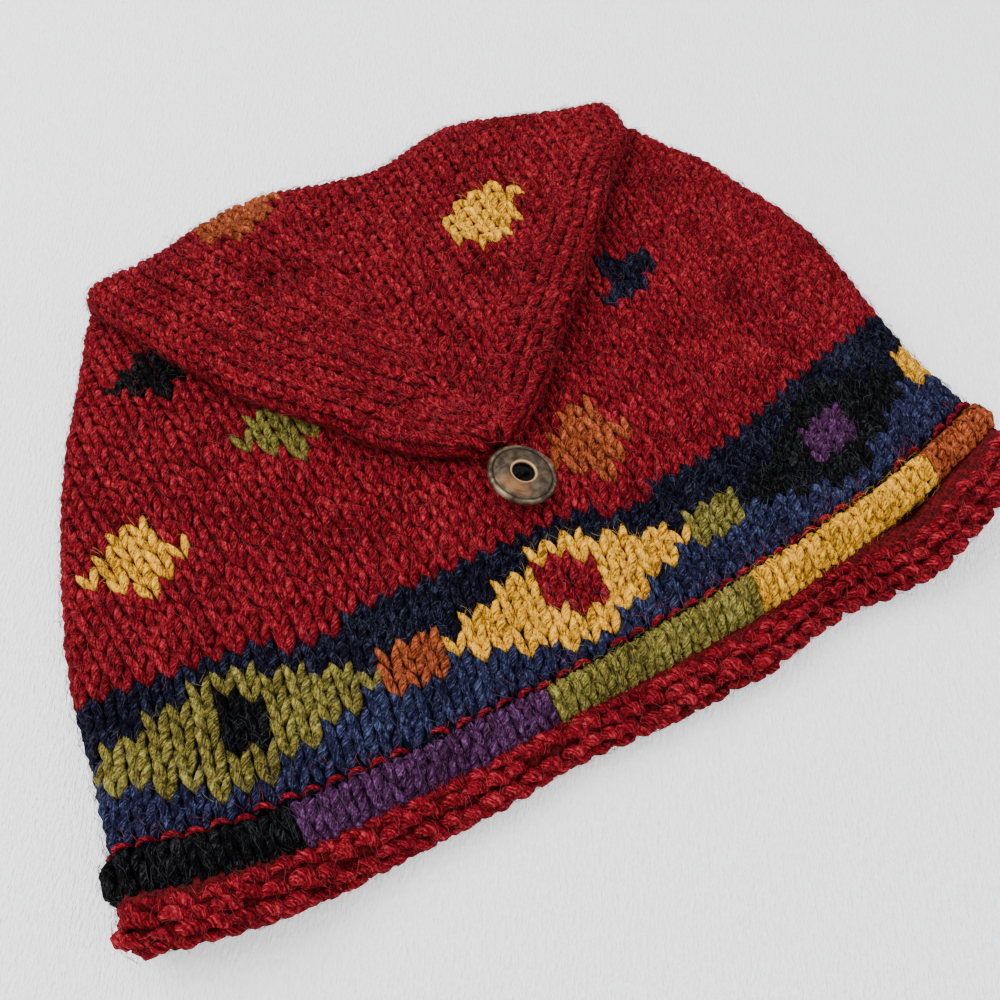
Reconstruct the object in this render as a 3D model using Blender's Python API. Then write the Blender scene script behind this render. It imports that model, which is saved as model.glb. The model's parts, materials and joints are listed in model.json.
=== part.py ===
"""Hand-knitted wool beanie lying flat, its crown folded forward and buttoned down.

The hat is one flattened tube.  It runs from a rolled hem through a ring of padded welts and
a pattern band into the crown, which narrows, turns over at a fold and comes back over the
front as a pointed flap.  A button sewn to the front holds the yarn loop at the flap's tip.

Units are metres.  X runs along the hem, +Y points from the hem to the fold, +Z is up, and
the underside of the back layer lies on z = 0.  Every tube is first laid out straight and
flat, and drape() then gives it the curve of the hem, the wave of the fold and the puffed
front, so that pieces that meet stay together.
"""

import math

import bmesh
import bpy
import numpy as np
from mathutils import Vector

# Overall sizes of the hat as it lies
HAT_WIDTH = 0.2650
HAT_LENGTH = 0.1917
FLAP_LENGTH = 0.1178
FLAP_TIP_X = -0.0005

# Walls and flat heights of the tube
CROWN_WALL = 0.0042
CROWN_HEIGHT = 0.0120
BAND_WALL = 0.0050
FLAP_HEIGHT = 0.0098
FLAP_TIP_HEIGHT = 0.0080
FOLD_CREASE = 0.0008

# Pieces along the tube, from the hem upwards
ROLL_WIDTH = 0.0105
ROLL_THICKNESS = 0.0100
WELT_WIDTH = 0.0125
WELT_THICKNESS = 0.0095
HEM_HEIGHT = 0.0210
BAND_LENGTH = 0.0385
JOINT_GAP = 0.0003

# How the cloth lies
PUFF = 0.0070
FRONT_DROP = 0.0155
BACK_RISE = 0.0060
FOLD_WAVE = 0.0060
HEM_LIFT_LENGTH = 0.0300

# Button, its thread and the loop that it holds
BUTTON_DIAMETER = 0.0195
BUTTON_X = -0.0005
BUTTON_FROM_TIP = 0.0114
BUTTON_BACK = 0.0016
BUTTON_FACE = 0.0017
BUTTON_RIM = 0.0014
BUTTON_STAND = 0.0041
BUTTON_TILT = math.radians(15.4)
WELL_DIAMETER = 0.0072
WELL_DEPTH = 0.0019
HOLE_DIAMETER = 0.0020
HOLE_SPACING = 0.0034
THREAD_DIAMETER = 0.0012
LOOP_YARN = 0.0020
LOOP_HALF_WIDTH = 0.0043

# Mesh steps round the tube, along it, and round the small pieces
FLAT_STEPS = 12
TURN_STEPS = 6
BODY_RINGS = 10
FOLD_RINGS = 7
FLAP_RINGS = 9
BAND_RINGS = 6
BEAD_SIDES = 12
ROLL_SIDES = 10
BUTTON_SIDES = 28
CUTTER_SIDES = 12

# How square a bead's cross-section is: 1 is round, less is squarer
WELT_SQUARENESS = 0.7
ROLL_SQUARENESS = 1.0

# Sides of the hat: share of HAT_LENGTH from the hem, then left and right share of half HAT_WIDTH
SIDES = (
    (0.00, 1.000, 0.972),
    (0.12, 1.000, 0.968),
    (0.22, 0.990, 0.970),
    (0.32, 0.984, 0.974),
    (0.44, 0.955, 0.984),
    (0.53, 0.920, 0.986),
    (0.62, 0.880, 0.960),
    (0.70, 0.837, 0.920),
    (0.78, 0.786, 0.884),
    (0.86, 0.738, 0.834),
    (0.94, 0.692, 0.790),
    (1.00, 0.655, 0.730),
)

# Flap edges: share of FLAP_LENGTH from the fold, then left and right share of the fold's reach
FLAP_EDGES = (
    (0.00, 1.000, 1.000),
    (0.07, 0.990, 0.988),
    (0.15, 0.950, 0.977),
    (0.22, 0.910, 0.958),
    (0.30, 0.863, 0.893),
    (0.40, 0.806, 0.788),
    (0.48, 0.752, 0.712),
    (0.58, 0.670, 0.601),
    (0.69, 0.554, 0.472),
    (0.79, 0.435, 0.353),
    (0.90, 0.309, 0.240),
    (0.96, 0.187, 0.154),
    (1.00, 0.080, 0.080),
)

# Rounded tip of the flap: share of FLAP_LENGTH, share of the flap's half height there
FLAP_TIP = (
    (0.930, 1.00),
    (0.965, 1.00),
    (0.985, 0.86),
    (1.000, 0.55),
)
FLAP_HOLLOW_END = 0.930
FLAP_THINNING = (0.60, 0.95)

# Curve of the courses: share of HAT_LENGTH, share of FRONT_DROP, share of BACK_RISE, and the power
# that flattens the curve in the middle
COURSE_CURVE = (
    (0.00, 0.72, 1.0, 5.0),
    (0.03, 0.74, 1.0, 5.0),
    (0.09, 0.90, 1.0, 3.0),
    (0.12, 1.00, 1.0, 2.4),
    (0.32, 0.94, 0.8, 2.2),
    (0.52, 0.55, 0.4, 2.2),
    (0.77, 0.10, 0.0, 2.2),
    (1.00, 0.00, 0.0, 2.2),
)

# Slack of the front: place across (-1 to 1), share of HAT_LENGTH, reach across and along as the
# same shares, and how far the courses sag there as a share of FRONT_DROP
SLACK = (
    (0.39, 0.33, 0.26, 0.10, 0.33),
)

# Height of the puffed front: share of HAT_LENGTH along the draped hat, share of PUFF
FRONT_LIFT = (
    (-0.062, -1.42),
    (-0.032, -1.42),
    (-0.003, -1.00),
    (0.015, -0.60),
    (0.034, -0.25),
    (0.044, -0.10),
    (0.086, 0.32),
    (0.144, 0.70),
    (0.248, 1.00),
    (0.400, 1.00),
    (0.600, 0.93),
    (0.810, 0.57),
    (0.910, 0.28),
    (0.970, 0.04),
    (1.000, 0.00),
)

# Wave of the fold: place across the hat from -1 to 1, share of FOLD_WAVE
FOLD_LINE = (
    (-1.00, -0.83),
    (-0.73, -0.50),
    (-0.52, 0.45),
    (-0.38, 0.70),
    (-0.10, 0.00),
    (0.10, -0.35),
    (0.39, 0.50),
    (0.58, -0.20),
    (0.76, -1.10),
    (1.00, -1.80),
)
# Shares of HAT_LENGTH between which the fold's wave grows to its full depth
WAVE_GROWTH = (0.72, 0.94)

# The hem sinks to the surface only between the sides: places across where it starts and is full
SINK_START = 0.95
SINK_FULL = 0.55

# Soft dents and rises: place across (-1 to 1), share of HAT_LENGTH, share of half width, share of PUFF
DENTS = (
    (-0.30, 0.93, 0.14, 0.34),
    (0.02, 0.90, 0.10, -0.26),
    (0.42, 0.90, 0.18, 0.36),
    (-0.72, 0.46, 0.10, -0.26),
    (0.62, 0.52, 0.16, 0.20),
    (0.30, 0.30, 0.20, 0.14),
    (-0.35, 0.62, 0.16, 0.18),
)

# Welts: node name, share of the loop where it ends, colour
WELTS = (
    ("welt_purple", 0.204, (0.085, 0.036, 0.120)),
    ("welt_olive", 0.319, (0.235, 0.215, 0.045)),
    ("welt_gold", 0.442, (0.640, 0.340, 0.045)),
    ("welt_rust", 0.570, (0.400, 0.105, 0.035)),
    ("welt_blue", 0.698, (0.032, 0.052, 0.130)),
    ("welt_back_olive", 0.826, (0.235, 0.215, 0.045)),
    ("welt_back_gold", 0.954, (0.640, 0.340, 0.045)),
    ("welt_black", 1.082, (0.010, 0.010, 0.012)),
)

# Turned outline of the button from the well's floor to its back: place between the well's edge (0)
# and the rim's groove (1), share of BUTTON_RIM beyond it, and height as a share of BUTTON_FACE
# above the edge or of BUTTON_BACK below it; None is the floor of the well
BUTTON_PROFILE = (
    (-0.21, 0.00, None),
    (0.00, 0.00, 1.00),
    (0.50, 0.00, 0.82),
    (1.00, 0.00, 0.42),
    (1.00, 0.35, 0.62),
    (1.00, 1.00, 0.00),
    (1.00, 0.40, -0.80),
    (0.50, 0.60, -1.00),
)

RED_WOOL = (0.330, 0.012, 0.018)
NAVY_WOOL = (0.012, 0.017, 0.048)
BUTTON_BROWN = (0.055, 0.038, 0.024)
THREAD_BLACK = (0.012, 0.010, 0.010)
WOOL_ROUGHNESS = 0.9
BUTTON_ROUGHNESS = 0.35

HEM_Y = -HAT_LENGTH / 2
FOLD_Y = HAT_LENGTH / 2


def read_table(table, column, place):
    """Smooth cubic reading of one column of a table at the places given."""
    stops = np.array([row[0] for row in table])
    values = np.array([row[column] for row in table])
    slopes = np.gradient(values, stops)
    place = np.clip(place, stops[0], stops[-1])
    left = np.clip(np.searchsorted(stops, place) - 1, 0, len(stops) - 2)
    width = stops[left + 1] - stops[left]
    t = (place - stops[left]) / width
    rise = values[left + 1] - values[left]
    bend = (t - 1) ** 2 * t * slopes[left] + t * t * (t - 1) * slopes[left + 1]
    return values[left] + rise * t * t * (3 - 2 * t) + width * bend


def smoothstep(value):
    value = np.clip(value, 0.0, 1.0)
    return value * value * (3 - 2 * value)


def side_reach(y):
    """Left and right edge of the hat's wall at a height y of the flat layout."""
    share = (np.asarray(y) - HEM_Y) / HAT_LENGTH
    left = -read_table(SIDES, 1, share) * HAT_WIDTH / 2
    right = read_table(SIDES, 2, share) * HAT_WIDTH / 2
    return left, right


def across(x, y):
    """Place across the hat: -1 on the left edge, 1 on the right edge."""
    left, right = side_reach(y)
    return np.clip(2 * (x - left) / (right - left) - 1, -1.0, 1.0)


def front_lift(x, y):
    """How far the front cloth stands above its flat layout at a draped place."""
    share = (y - HEM_Y) / HAT_LENGTH
    place = across(x, y)
    lift = PUFF * read_table(FRONT_LIFT, 1, share)
    rising = 1 - place ** 4
    sinking = smoothstep((SINK_START - np.abs(place)) / (SINK_START - SINK_FULL))
    lift = lift * np.where(lift > 0, rising, sinking)
    for dent_across, dent_share, reach, height in DENTS:
        radius = reach * HAT_WIDTH / 2
        dx = (place - dent_across) * HAT_WIDTH / 2
        dy = (share - dent_share) * HAT_LENGTH
        lift = lift + PUFF * height * np.exp(-(dx * dx + dy * dy) / radius ** 2) * rising
    return lift


def drape(points, front, curve=1.0):
    """Move points of the flat layout to where the cloth lies.

    front is 0 on the back layer and 1 on the front layer and all that lies on it; curve is
    how much of the hem's curve a point follows, 0 on the flap.
    """
    x, y, z = points.T
    share = (y - HEM_Y) / HAT_LENGTH
    place = across(x, y)
    bow = curve * (1 - np.abs(place) ** read_table(COURSE_CURVE, 3, share))
    drop = FRONT_DROP * read_table(COURSE_CURVE, 1, share)
    rise = BACK_RISE * read_table(COURSE_CURVE, 2, share)
    growth = (share - WAVE_GROWTH[0]) / (WAVE_GROWTH[1] - WAVE_GROWTH[0])
    wave = FOLD_WAVE * read_table(FOLD_LINE, 1, place) * smoothstep(growth)
    sag = np.zeros_like(y)
    for middle, middle_share, wide, long, depth in SLACK:
        away = ((place - middle) / wide) ** 2 + ((share - middle_share) / long) ** 2
        sag = sag + FRONT_DROP * depth * np.exp(-away)
    y = y + bow * (rise * (1 - front) - drop * front) - curve * front * sag + wave
    return np.column_stack((x, y, z + front * front_lift(x, y)))


def loop_lengths():
    """Quarter turn and straight of the loop that the welts share out."""
    quarter = math.pi / 2 * (HEM_HEIGHT - WELT_THICKNESS) / 2
    straight = HAT_WIDTH - CROWN_HEIGHT
    return quarter, straight


def loop_at(share):
    """Place across the flat run (0 to 1) and outward direction at shares of the loop.

    Share 0 is the left edge, the front comes first, 0.5 is the right edge.
    """
    quarter, straight = loop_lengths()
    length = 4 * quarter + 2 * straight
    stops = np.array([0, quarter, quarter + straight, 3 * quarter + straight,
                      3 * quarter + 2 * straight, length])
    distance = np.mod(share, 1.0) * length
    run = np.interp(distance, stops, [0, 0, 1, 1, 0, 0])
    angle = np.radians(np.interp(distance, stops, [180, 90, 90, -90, -90, -180]))
    return run, np.cos(angle), np.sin(angle)


def loop_stops():
    """Shares of the loop at which every ring has a vertex."""
    quarter, straight = loop_lengths()
    length = 4 * quarter + 2 * straight
    turn = np.linspace(-quarter, quarter, TURN_STEPS + 1)[:-1]
    run = np.linspace(0, straight, FLAT_STEPS + 1)[:-1]
    half = 2 * quarter + straight
    places = np.concatenate((turn, quarter + run, half + turn, half + quarter + run))
    return np.sort(np.mod(places / length, 1.0))


def tube_ring(share, y, height_z, radius, offset=0.0, turn=0.0, left=None, right=None):
    """Points of a flattened loop and their offset from its middle plane.

    radius is half the loop's flat height, offset moves the points outwards from it, and turn
    is how far the tube has turned over at the fold.
    """
    run, out_x, out_z = loop_at(share)
    if left is None:
        left, right = side_reach(y)
        left = left - (radius - CROWN_HEIGHT / 2)
        right = right + (radius - CROWN_HEIGHT / 2)
    reach = radius + offset
    x = left + radius + run * (right - left - 2 * radius) + out_x * reach
    from_middle = out_z * reach
    ring_y = y - from_middle * math.sin(turn)
    ring_z = height_z + from_middle * math.cos(turn)
    return np.column_stack((x, ring_y, ring_z)), from_middle


def layer_weight(from_middle, inner):
    """0 on the back layer, 1 on the front layer, smooth across the sides between them."""
    return smoothstep((from_middle + inner) / (2 * inner))


def add_object(name, bm, colour, roughness=WOOL_ROUGHNESS, metallic=0.0):
    mesh = bpy.data.meshes.new(name)
    bmesh.ops.recalc_face_normals(bm, faces=bm.faces[:])
    bmesh.ops.triangulate(bm, faces=bm.faces[:])
    bm.to_mesh(mesh)
    bm.free()
    mesh.shade_smooth()
    mesh.set_sharp_from_angle(angle=math.radians(40))
    material = bpy.data.materials.new(name)
    material.use_nodes = True
    shader = material.node_tree.nodes["Principled BSDF"]
    shader.inputs["Base Color"].default_value = (*colour, 1.0)
    shader.inputs["Roughness"].default_value = roughness
    shader.inputs["Metallic"].default_value = metallic
    mesh.materials.append(material)
    obj = bpy.data.objects.new(name, mesh)
    bpy.context.scene.collection.objects.link(obj)
    return obj


def ring_vertices(bm, points):
    return [bm.verts.new(point) for point in points]


def skin_rings(bm, first, second, closed=True):
    """Quads between two rows of vertices."""
    count = len(first)
    for i in range(count if closed else count - 1):
        after = (i + 1) % count
        bm.faces.new((first[i], first[after], second[after], second[i]))


def cap_ring(bm, ring):
    """Close a ring with a fan of triangles round its middle."""
    middle = sum((vert.co for vert in ring), Vector()) / len(ring)
    hub = bm.verts.new(middle)
    for i, vert in enumerate(ring):
        bm.faces.new((vert, ring[(i + 1) % len(ring)], hub))


def body_middle(y):
    """Height of the tube's middle plane: raised at the hem by the welts that it lies on."""
    band_start = HEM_Y + ROLL_WIDTH + WELT_WIDTH + 2 * JOINT_GAP
    raised = (HEM_HEIGHT - CROWN_HEIGHT) / 2
    return CROWN_HEIGHT / 2 + raised * (1 - smoothstep((y - band_start) / HEM_LIFT_LENGTH))


def body_ring(share, y, wall):
    """Outer and inner ring of a straight stretch of the hat's wall."""
    radius = CROWN_HEIGHT / 2
    rings = []
    for offset in (0.0, -wall):
        points, from_middle = tube_ring(share, y, body_middle(y), radius, offset)
        rings.append(drape(points, layer_weight(from_middle, radius - wall)))
    return rings


def make_crown():
    """Red crown: body, fold and flap in one, hollow and open towards the band."""
    share = loop_stops()
    seam_y = HEM_Y + ROLL_WIDTH + WELT_WIDTH + BAND_LENGTH + 3 * JOINT_GAP
    body_radius = CROWN_HEIGHT / 2
    flap_radius = FLAP_HEIGHT / 2
    tip_radius = FLAP_TIP_HEIGHT / 2
    reach_out = body_radius + FOLD_CREASE / 2
    turn_y = FOLD_Y - reach_out - (body_radius + flap_radius) / 2
    outer = []
    inner = []
    for y in np.linspace(seam_y, turn_y, BODY_RINGS):
        rings = body_ring(share, y, CROWN_WALL)
        outer.append(rings[0])
        inner.append(rings[1])
    rise = body_radius + FOLD_CREASE + flap_radius
    for turn in np.linspace(0, math.pi, FOLD_RINGS + 2)[1:-1]:
        radius = body_radius + (flap_radius - body_radius) * turn / math.pi
        y = turn_y + reach_out * math.sin(turn)
        z = body_radius + rise * (1 - math.cos(turn)) / 2
        narrowing = smoothstep(turn / math.pi * 2)
        left, right = side_reach(turn_y + (FOLD_Y - turn_y) * narrowing)
        for rings, offset in ((outer, 0.0), (inner, -CROWN_WALL)):
            points, from_middle = tube_ring(share, y, z, radius, offset, turn, left, right)
            weight = layer_weight(from_middle, radius - CROWN_WALL)
            weight = np.maximum(weight, smoothstep(turn / math.pi))
            rings.append(drape(points, weight, curve=0.0))
    left_fold, right_fold = side_reach(FOLD_Y)
    fold_share = (FOLD_Y - turn_y) / FLAP_LENGTH
    middle_z = CROWN_HEIGHT + FOLD_CREASE + flap_radius
    thin_start, thin_end = FLAP_THINNING
    flap_shares = np.linspace(fold_share, FLAP_TIP[0][0], FLAP_RINGS + 1)[:-1]
    for station, roundness in [(share_along, 1.0) for share_along in flap_shares] + list(FLAP_TIP):
        y = FOLD_Y - station * FLAP_LENGTH
        left = FLAP_TIP_X + (left_fold - FLAP_TIP_X) * read_table(FLAP_EDGES, 1, station)
        right = FLAP_TIP_X + (right_fold - FLAP_TIP_X) * read_table(FLAP_EDGES, 2, station)
        thinning = smoothstep((station - thin_start) / (thin_end - thin_start))
        radius = flap_radius + (tip_radius - flap_radius) * thinning
        radius = radius * roundness
        wall = min(CROWN_WALL, radius - JOINT_GAP)
        z = middle_z - (flap_radius - radius) / 2
        for rings, offset in ((outer, 0.0), (inner, -wall)):
            if offset and station > FLAP_HOLLOW_END:
                continue
            points, _ = tube_ring(share, y, z, radius, offset, math.pi, left, right)
            rings.append(drape(points, np.ones(len(points)), curve=0.0))
    bm = bmesh.new()
    outer_rows = [ring_vertices(bm, points) for points in outer]
    inner_rows = [ring_vertices(bm, points) for points in inner]
    for rows in (outer_rows, inner_rows):
        for first, second in zip(rows, rows[1:]):
            skin_rings(bm, first, second)
        cap_ring(bm, rows[-1])
    skin_rings(bm, outer_rows[0], inner_rows[0])
    return add_object("crown", bm, RED_WOOL)


def make_pattern_band():
    """Navy band: an open ring of double-strand knitting between the welts and the crown."""
    share = loop_stops()
    start = HEM_Y + ROLL_WIDTH + WELT_WIDTH + 2 * JOINT_GAP
    bm = bmesh.new()
    outer_rows = []
    inner_rows = []
    for y in np.linspace(start, start + BAND_LENGTH, BAND_RINGS):
        outer, inner = body_ring(share, y, BAND_WALL)
        outer_rows.append(ring_vertices(bm, outer))
        inner_rows.append(ring_vertices(bm, inner))
    for rows in (outer_rows, inner_rows):
        for first, second in zip(rows, rows[1:]):
            skin_rings(bm, first, second)
    for end in (0, -1):
        skin_rings(bm, outer_rows[end], inner_rows[end])
    return add_object("pattern_band", bm, NAVY_WOOL)


def bead_rings(share, middle_y, half_width, thickness, sides, power):
    """Cross-sections of a bead that runs round the hem, one row of points for each share.

    Each section is a rounded box: cos and sin of an angle, raised to a power.
    """
    angle = np.linspace(0, 2 * math.pi, sides, endpoint=False) + math.pi / sides
    along = np.sign(np.cos(angle)) * np.abs(np.cos(angle)) ** power * half_width
    outward = np.sign(np.sin(angle)) * np.abs(np.sin(angle)) ** power * thickness / 2
    radius = HEM_HEIGHT / 2
    rows = []
    for step, offset in zip(along, outward - thickness / 2):
        points, from_middle = tube_ring(share, middle_y + step, radius, radius, offset)
        rows.append(drape(points, layer_weight(from_middle, radius - thickness)))
    return np.stack(rows, axis=1)


def make_welt(name, start, end, colour):
    """One padded welt: a closed bead along its share of the loop."""
    quarter, straight = loop_lengths()
    gap_share = JOINT_GAP / (4 * quarter + 2 * straight)
    start = start + gap_share / 2
    end = end - gap_share / 2
    stops = loop_stops()
    stops = np.concatenate((stops, stops + 1.0))
    margin = 4 * gap_share
    inside = stops[(stops > start + margin) & (stops < end - margin)]
    share = np.concatenate(([start], inside, [end]))
    middle_y = HEM_Y + ROLL_WIDTH + JOINT_GAP + WELT_WIDTH / 2
    half = WELT_WIDTH / 2
    sections = bead_rings(share, middle_y, half, WELT_THICKNESS, BEAD_SIDES, WELT_SQUARENESS)
    bm = bmesh.new()
    rows = [ring_vertices(bm, points) for points in sections]
    for first, second in zip(rows, rows[1:]):
        skin_rings(bm, first, second)
    cap_ring(bm, rows[0])
    cap_ring(bm, rows[-1])
    return add_object(name, bm, colour)


def make_rolled_hem():
    """Red hem, curled outwards into a round roll all the way round."""
    half = ROLL_WIDTH / 2
    share = loop_stops()
    sections = bead_rings(share, HEM_Y + half, half, ROLL_THICKNESS, ROLL_SIDES, ROLL_SQUARENESS)
    bm = bmesh.new()
    rows = [ring_vertices(bm, points) for points in sections]
    for first, second in zip(rows, rows[1:] + rows[:1]):
        skin_rings(bm, first, second)
    return add_object("rolled_hem", bm, RED_WOOL)


def button_place():
    """Middle of the button's edge and the height of the cloth under it."""
    y = FOLD_Y - FLAP_LENGTH - BUTTON_FROM_TIP
    cloth = CROWN_HEIGHT + float(front_lift(np.array([BUTTON_X]), np.array([y]))[0])
    return Vector((BUTTON_X, y, cloth + BUTTON_STAND + BUTTON_BACK)), cloth


def add_cutter(name, radius, depth, place):
    bm = bmesh.new()
    bmesh.ops.create_cone(bm, cap_ends=True, segments=CUTTER_SIDES, radius1=radius,
                          radius2=radius, depth=depth)
    cutter = add_object(name, bm, THREAD_BLACK)
    cutter.location = place
    cutter.hide_render = True
    cutter.display_type = "WIRE"
    return cutter


def make_button():
    """Turned button: domed face, raised rim, round well and two holes."""
    radius = BUTTON_DIAMETER / 2
    well = WELL_DIAMETER / 2
    rim = radius - BUTTON_RIM
    bm = bmesh.new()
    rows = []
    for from_well, from_rim, height in BUTTON_PROFILE:
        reach = well + (rim - well) * from_well + BUTTON_RIM * from_rim
        if height is None:
            height = BUTTON_FACE - WELL_DEPTH
        elif height > 0:
            height = height * BUTTON_FACE
        else:
            height = height * BUTTON_BACK
        angles = [2 * math.pi * i / BUTTON_SIDES for i in range(BUTTON_SIDES)]
        points = [(reach * math.cos(a), reach * math.sin(a), height) for a in angles]
        rows.append(ring_vertices(bm, points))
    for first, second in zip(rows, rows[1:]):
        skin_rings(bm, first, second)
    cap_ring(bm, rows[0])
    cap_ring(bm, rows[-1])
    button = add_object("button", bm, BUTTON_BROWN, BUTTON_ROUGHNESS, 0.1)
    place, _ = button_place()
    button.location = place
    button.rotation_euler = (0.0, BUTTON_TILT, 0.0)
    for name, side in (("hole_left", -0.5), ("hole_right", 0.5)):
        depth = 4 * (BUTTON_FACE + BUTTON_BACK)
        cutter = add_cutter(name, HOLE_DIAMETER / 2, depth, (side * HOLE_SPACING, 0, 0))
        cutter.parent = button
        cut = button.modifiers.new(name, "BOOLEAN")
        cut.operation = "DIFFERENCE"
        cut.solver = "EXACT"
        cut.object = cutter
    return button


def add_tube(name, points, diameter, colour, sides=2):
    """Round strand along a smooth path of points."""
    curve = bpy.data.curves.new(name, "CURVE")
    curve.dimensions = "3D"
    curve.bevel_depth = diameter / 2
    curve.bevel_resolution = sides
    curve.use_fill_caps = True
    spline = curve.splines.new("POLY")
    spline.points.add(len(points) - 1)
    for target, point in zip(spline.points, points):
        target.co = (*point, 1.0)
    material = bpy.data.materials.new(name)
    material.use_nodes = True
    shader = material.node_tree.nodes["Principled BSDF"]
    shader.inputs["Base Color"].default_value = (*colour, 1.0)
    shader.inputs["Roughness"].default_value = WOOL_ROUGHNESS
    curve.materials.append(material)
    strand = bpy.data.objects.new(name, curve)
    bpy.context.scene.collection.objects.link(strand)
    return strand


def smooth_path(stops, count):
    """Evenly read points of a smooth curve through a few chosen ones."""
    stops = np.array(stops)
    table = [(i, *stop) for i, stop in enumerate(stops)]
    place = np.linspace(0, len(stops) - 1, count)
    return np.column_stack([read_table(table, column, place) for column in (1, 2, 3)])


def make_button_thread():
    """Sewing thread: down both holes from a bridge across the well to the cloth."""
    place, cloth = button_place()
    half = HOLE_SPACING / 2
    bridge = BUTTON_FACE - WELL_DEPTH + JOINT_GAP + THREAD_DIAMETER / 2
    tilt = math.sin(BUTTON_TILT)
    points = []
    for side in (-1, 1):
        x = side * half
        foot_x = place.x + x * math.cos(BUTTON_TILT) * 0.9
        foot = (foot_x, place.y, cloth + 2 * JOINT_GAP)
        hole = (place.x + x * math.cos(BUTTON_TILT), place.y, place.z - x * tilt)
        low = (hole[0] - BUTTON_BACK * tilt, place.y, hole[2] - BUTTON_BACK)
        top = (hole[0] + bridge * tilt, place.y, hole[2] + bridge * 0.7)
        points.append([foot, low, hole, top])
    arch = (place.x + bridge * tilt, place.y, place.z + bridge + THREAD_DIAMETER * 0.2)
    stops = points[0] + [arch] + points[1][::-1]
    return add_tube("button_thread", smooth_path(stops, 21), THREAD_DIAMETER, THREAD_BLACK, 1)


def make_tip_loop():
    """Yarn loop from the flap's tip, round the thread under the button and back."""
    place, cloth = button_place()
    tip_y = FOLD_Y - FLAP_LENGTH
    half = LOOP_HALF_WIDTH
    low = cloth + LOOP_YARN / 2 + 2 * JOINT_GAP
    start_y = tip_y - LOOP_YARN / 2
    reach = start_y - (place.y - half)
    stops = (
        (place.x - half, start_y, low + LOOP_YARN * 0.3),
        (place.x - half * 1.15, start_y - reach * 0.3, low),
        (place.x - half * 1.05, start_y - reach * 0.65, low),
        (place.x - half * 0.6, start_y - reach * 0.93, low),
        (place.x, start_y - reach, low),
        (place.x + half * 0.5, start_y - reach * 0.93, low),
        (place.x + half * 0.8, start_y - reach * 0.65, low),
        (place.x + half * 0.8, start_y - reach * 0.3, low),
        (place.x + half * 0.8, start_y, low + LOOP_YARN * 0.3),
    )
    return add_tube("tip_loop", smooth_path(stops, 25), LOOP_YARN, RED_WOOL)


def main():
    for obj in list(bpy.data.objects):
        bpy.data.objects.remove(obj)
    make_crown()
    make_pattern_band()
    start = WELTS[-1][1] - 1.0
    for name, end, colour in WELTS:
        make_welt(name, start, end, colour)
        start = end
    make_rolled_hem()
    make_button()
    make_button_thread()
    make_tip_loop()


main()
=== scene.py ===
"""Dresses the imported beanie: knitted stitches, rounded welts, a turned button and stray fibres.

Lengths are metres.  X runs along the hem, +Y points from the hem to the fold and +Z is up.
Stitch work is placed in cloth coordinates: e is the distance round the cloth from the middle
of a layer, v the distance along the tube from the hem, and out the height above its surface.
"""

import json
import math

import bmesh
import bpy
import numpy as np
from mathutils import Matrix, Vector


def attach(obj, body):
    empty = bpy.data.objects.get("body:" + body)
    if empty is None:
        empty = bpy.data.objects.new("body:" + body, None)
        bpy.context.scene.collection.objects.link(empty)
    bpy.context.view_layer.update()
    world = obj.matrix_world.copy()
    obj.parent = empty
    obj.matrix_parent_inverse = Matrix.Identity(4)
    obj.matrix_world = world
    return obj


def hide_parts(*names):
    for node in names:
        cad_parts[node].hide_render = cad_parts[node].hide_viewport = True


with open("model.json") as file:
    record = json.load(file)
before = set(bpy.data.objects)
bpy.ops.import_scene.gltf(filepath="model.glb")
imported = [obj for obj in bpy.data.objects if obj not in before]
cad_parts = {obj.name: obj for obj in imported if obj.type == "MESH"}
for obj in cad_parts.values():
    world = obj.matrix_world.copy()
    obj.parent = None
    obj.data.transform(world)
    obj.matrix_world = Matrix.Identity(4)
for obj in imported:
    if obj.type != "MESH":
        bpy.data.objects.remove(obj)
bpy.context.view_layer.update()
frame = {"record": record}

bl_info = {
    "name": "Buttoned wool beanie",
    "version": (1, 0, 0),
    "blender": (4, 5, 0),
    "location": "View3D > Sidebar > Beanie",
    "description": "Knits a beanie with a patterned band, rounded welts and a buttoned flap",
    "category": "Add Mesh",
}

RECORD_COLOURS = {row["slot"]: tuple(row["base_color"]) for row in frame["record"]["materials"]}
BODY = "root"

# Shape of the hat, the same named sizes and tables as its solids
HAT_WIDTH = 0.2650
HAT_LENGTH = 0.1917
FLAP_LENGTH = 0.1178
FLAP_TIP_X = -0.0005
CROWN_WALL = 0.0042
CROWN_HEIGHT = 0.0120
BAND_WALL = 0.0050
FLAP_HEIGHT = 0.0098
FLAP_TIP_HEIGHT = 0.0080
FOLD_CREASE = 0.0008
ROLL_WIDTH = 0.0105
ROLL_THICKNESS = 0.0100
WELT_WIDTH = 0.0125
WELT_THICKNESS = 0.0095
HEM_HEIGHT = 0.0210
BAND_LENGTH = 0.0385
JOINT_GAP = 0.0003
PUFF = 0.0070
FRONT_DROP = 0.0155
BACK_RISE = 0.0060
FOLD_WAVE = 0.0060
HEM_LIFT_LENGTH = 0.0300
WAVE_GROWTH = (0.72, 0.94)
SINK_START = 0.95
SINK_FULL = 0.55
FLAP_THINNING = (0.60, 0.95)
WELT_SQUARENESS = 0.7
ROLL_SQUARENESS = 1.0
BUTTON_X = -0.0005
BUTTON_FROM_TIP = 0.0126
BUTTON_BACK = 0.0016
BUTTON_FACE = 0.0017
BUTTON_STAND = 0.0041
BUTTON_TILT = math.radians(15.4)
WELL_DEPTH = 0.0019
HOLE_SPACING = 0.0034
THREAD_DIAMETER = 0.0012
LOOP_YARN = 0.0020
LOOP_HALF_WIDTH = 0.0043

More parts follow.
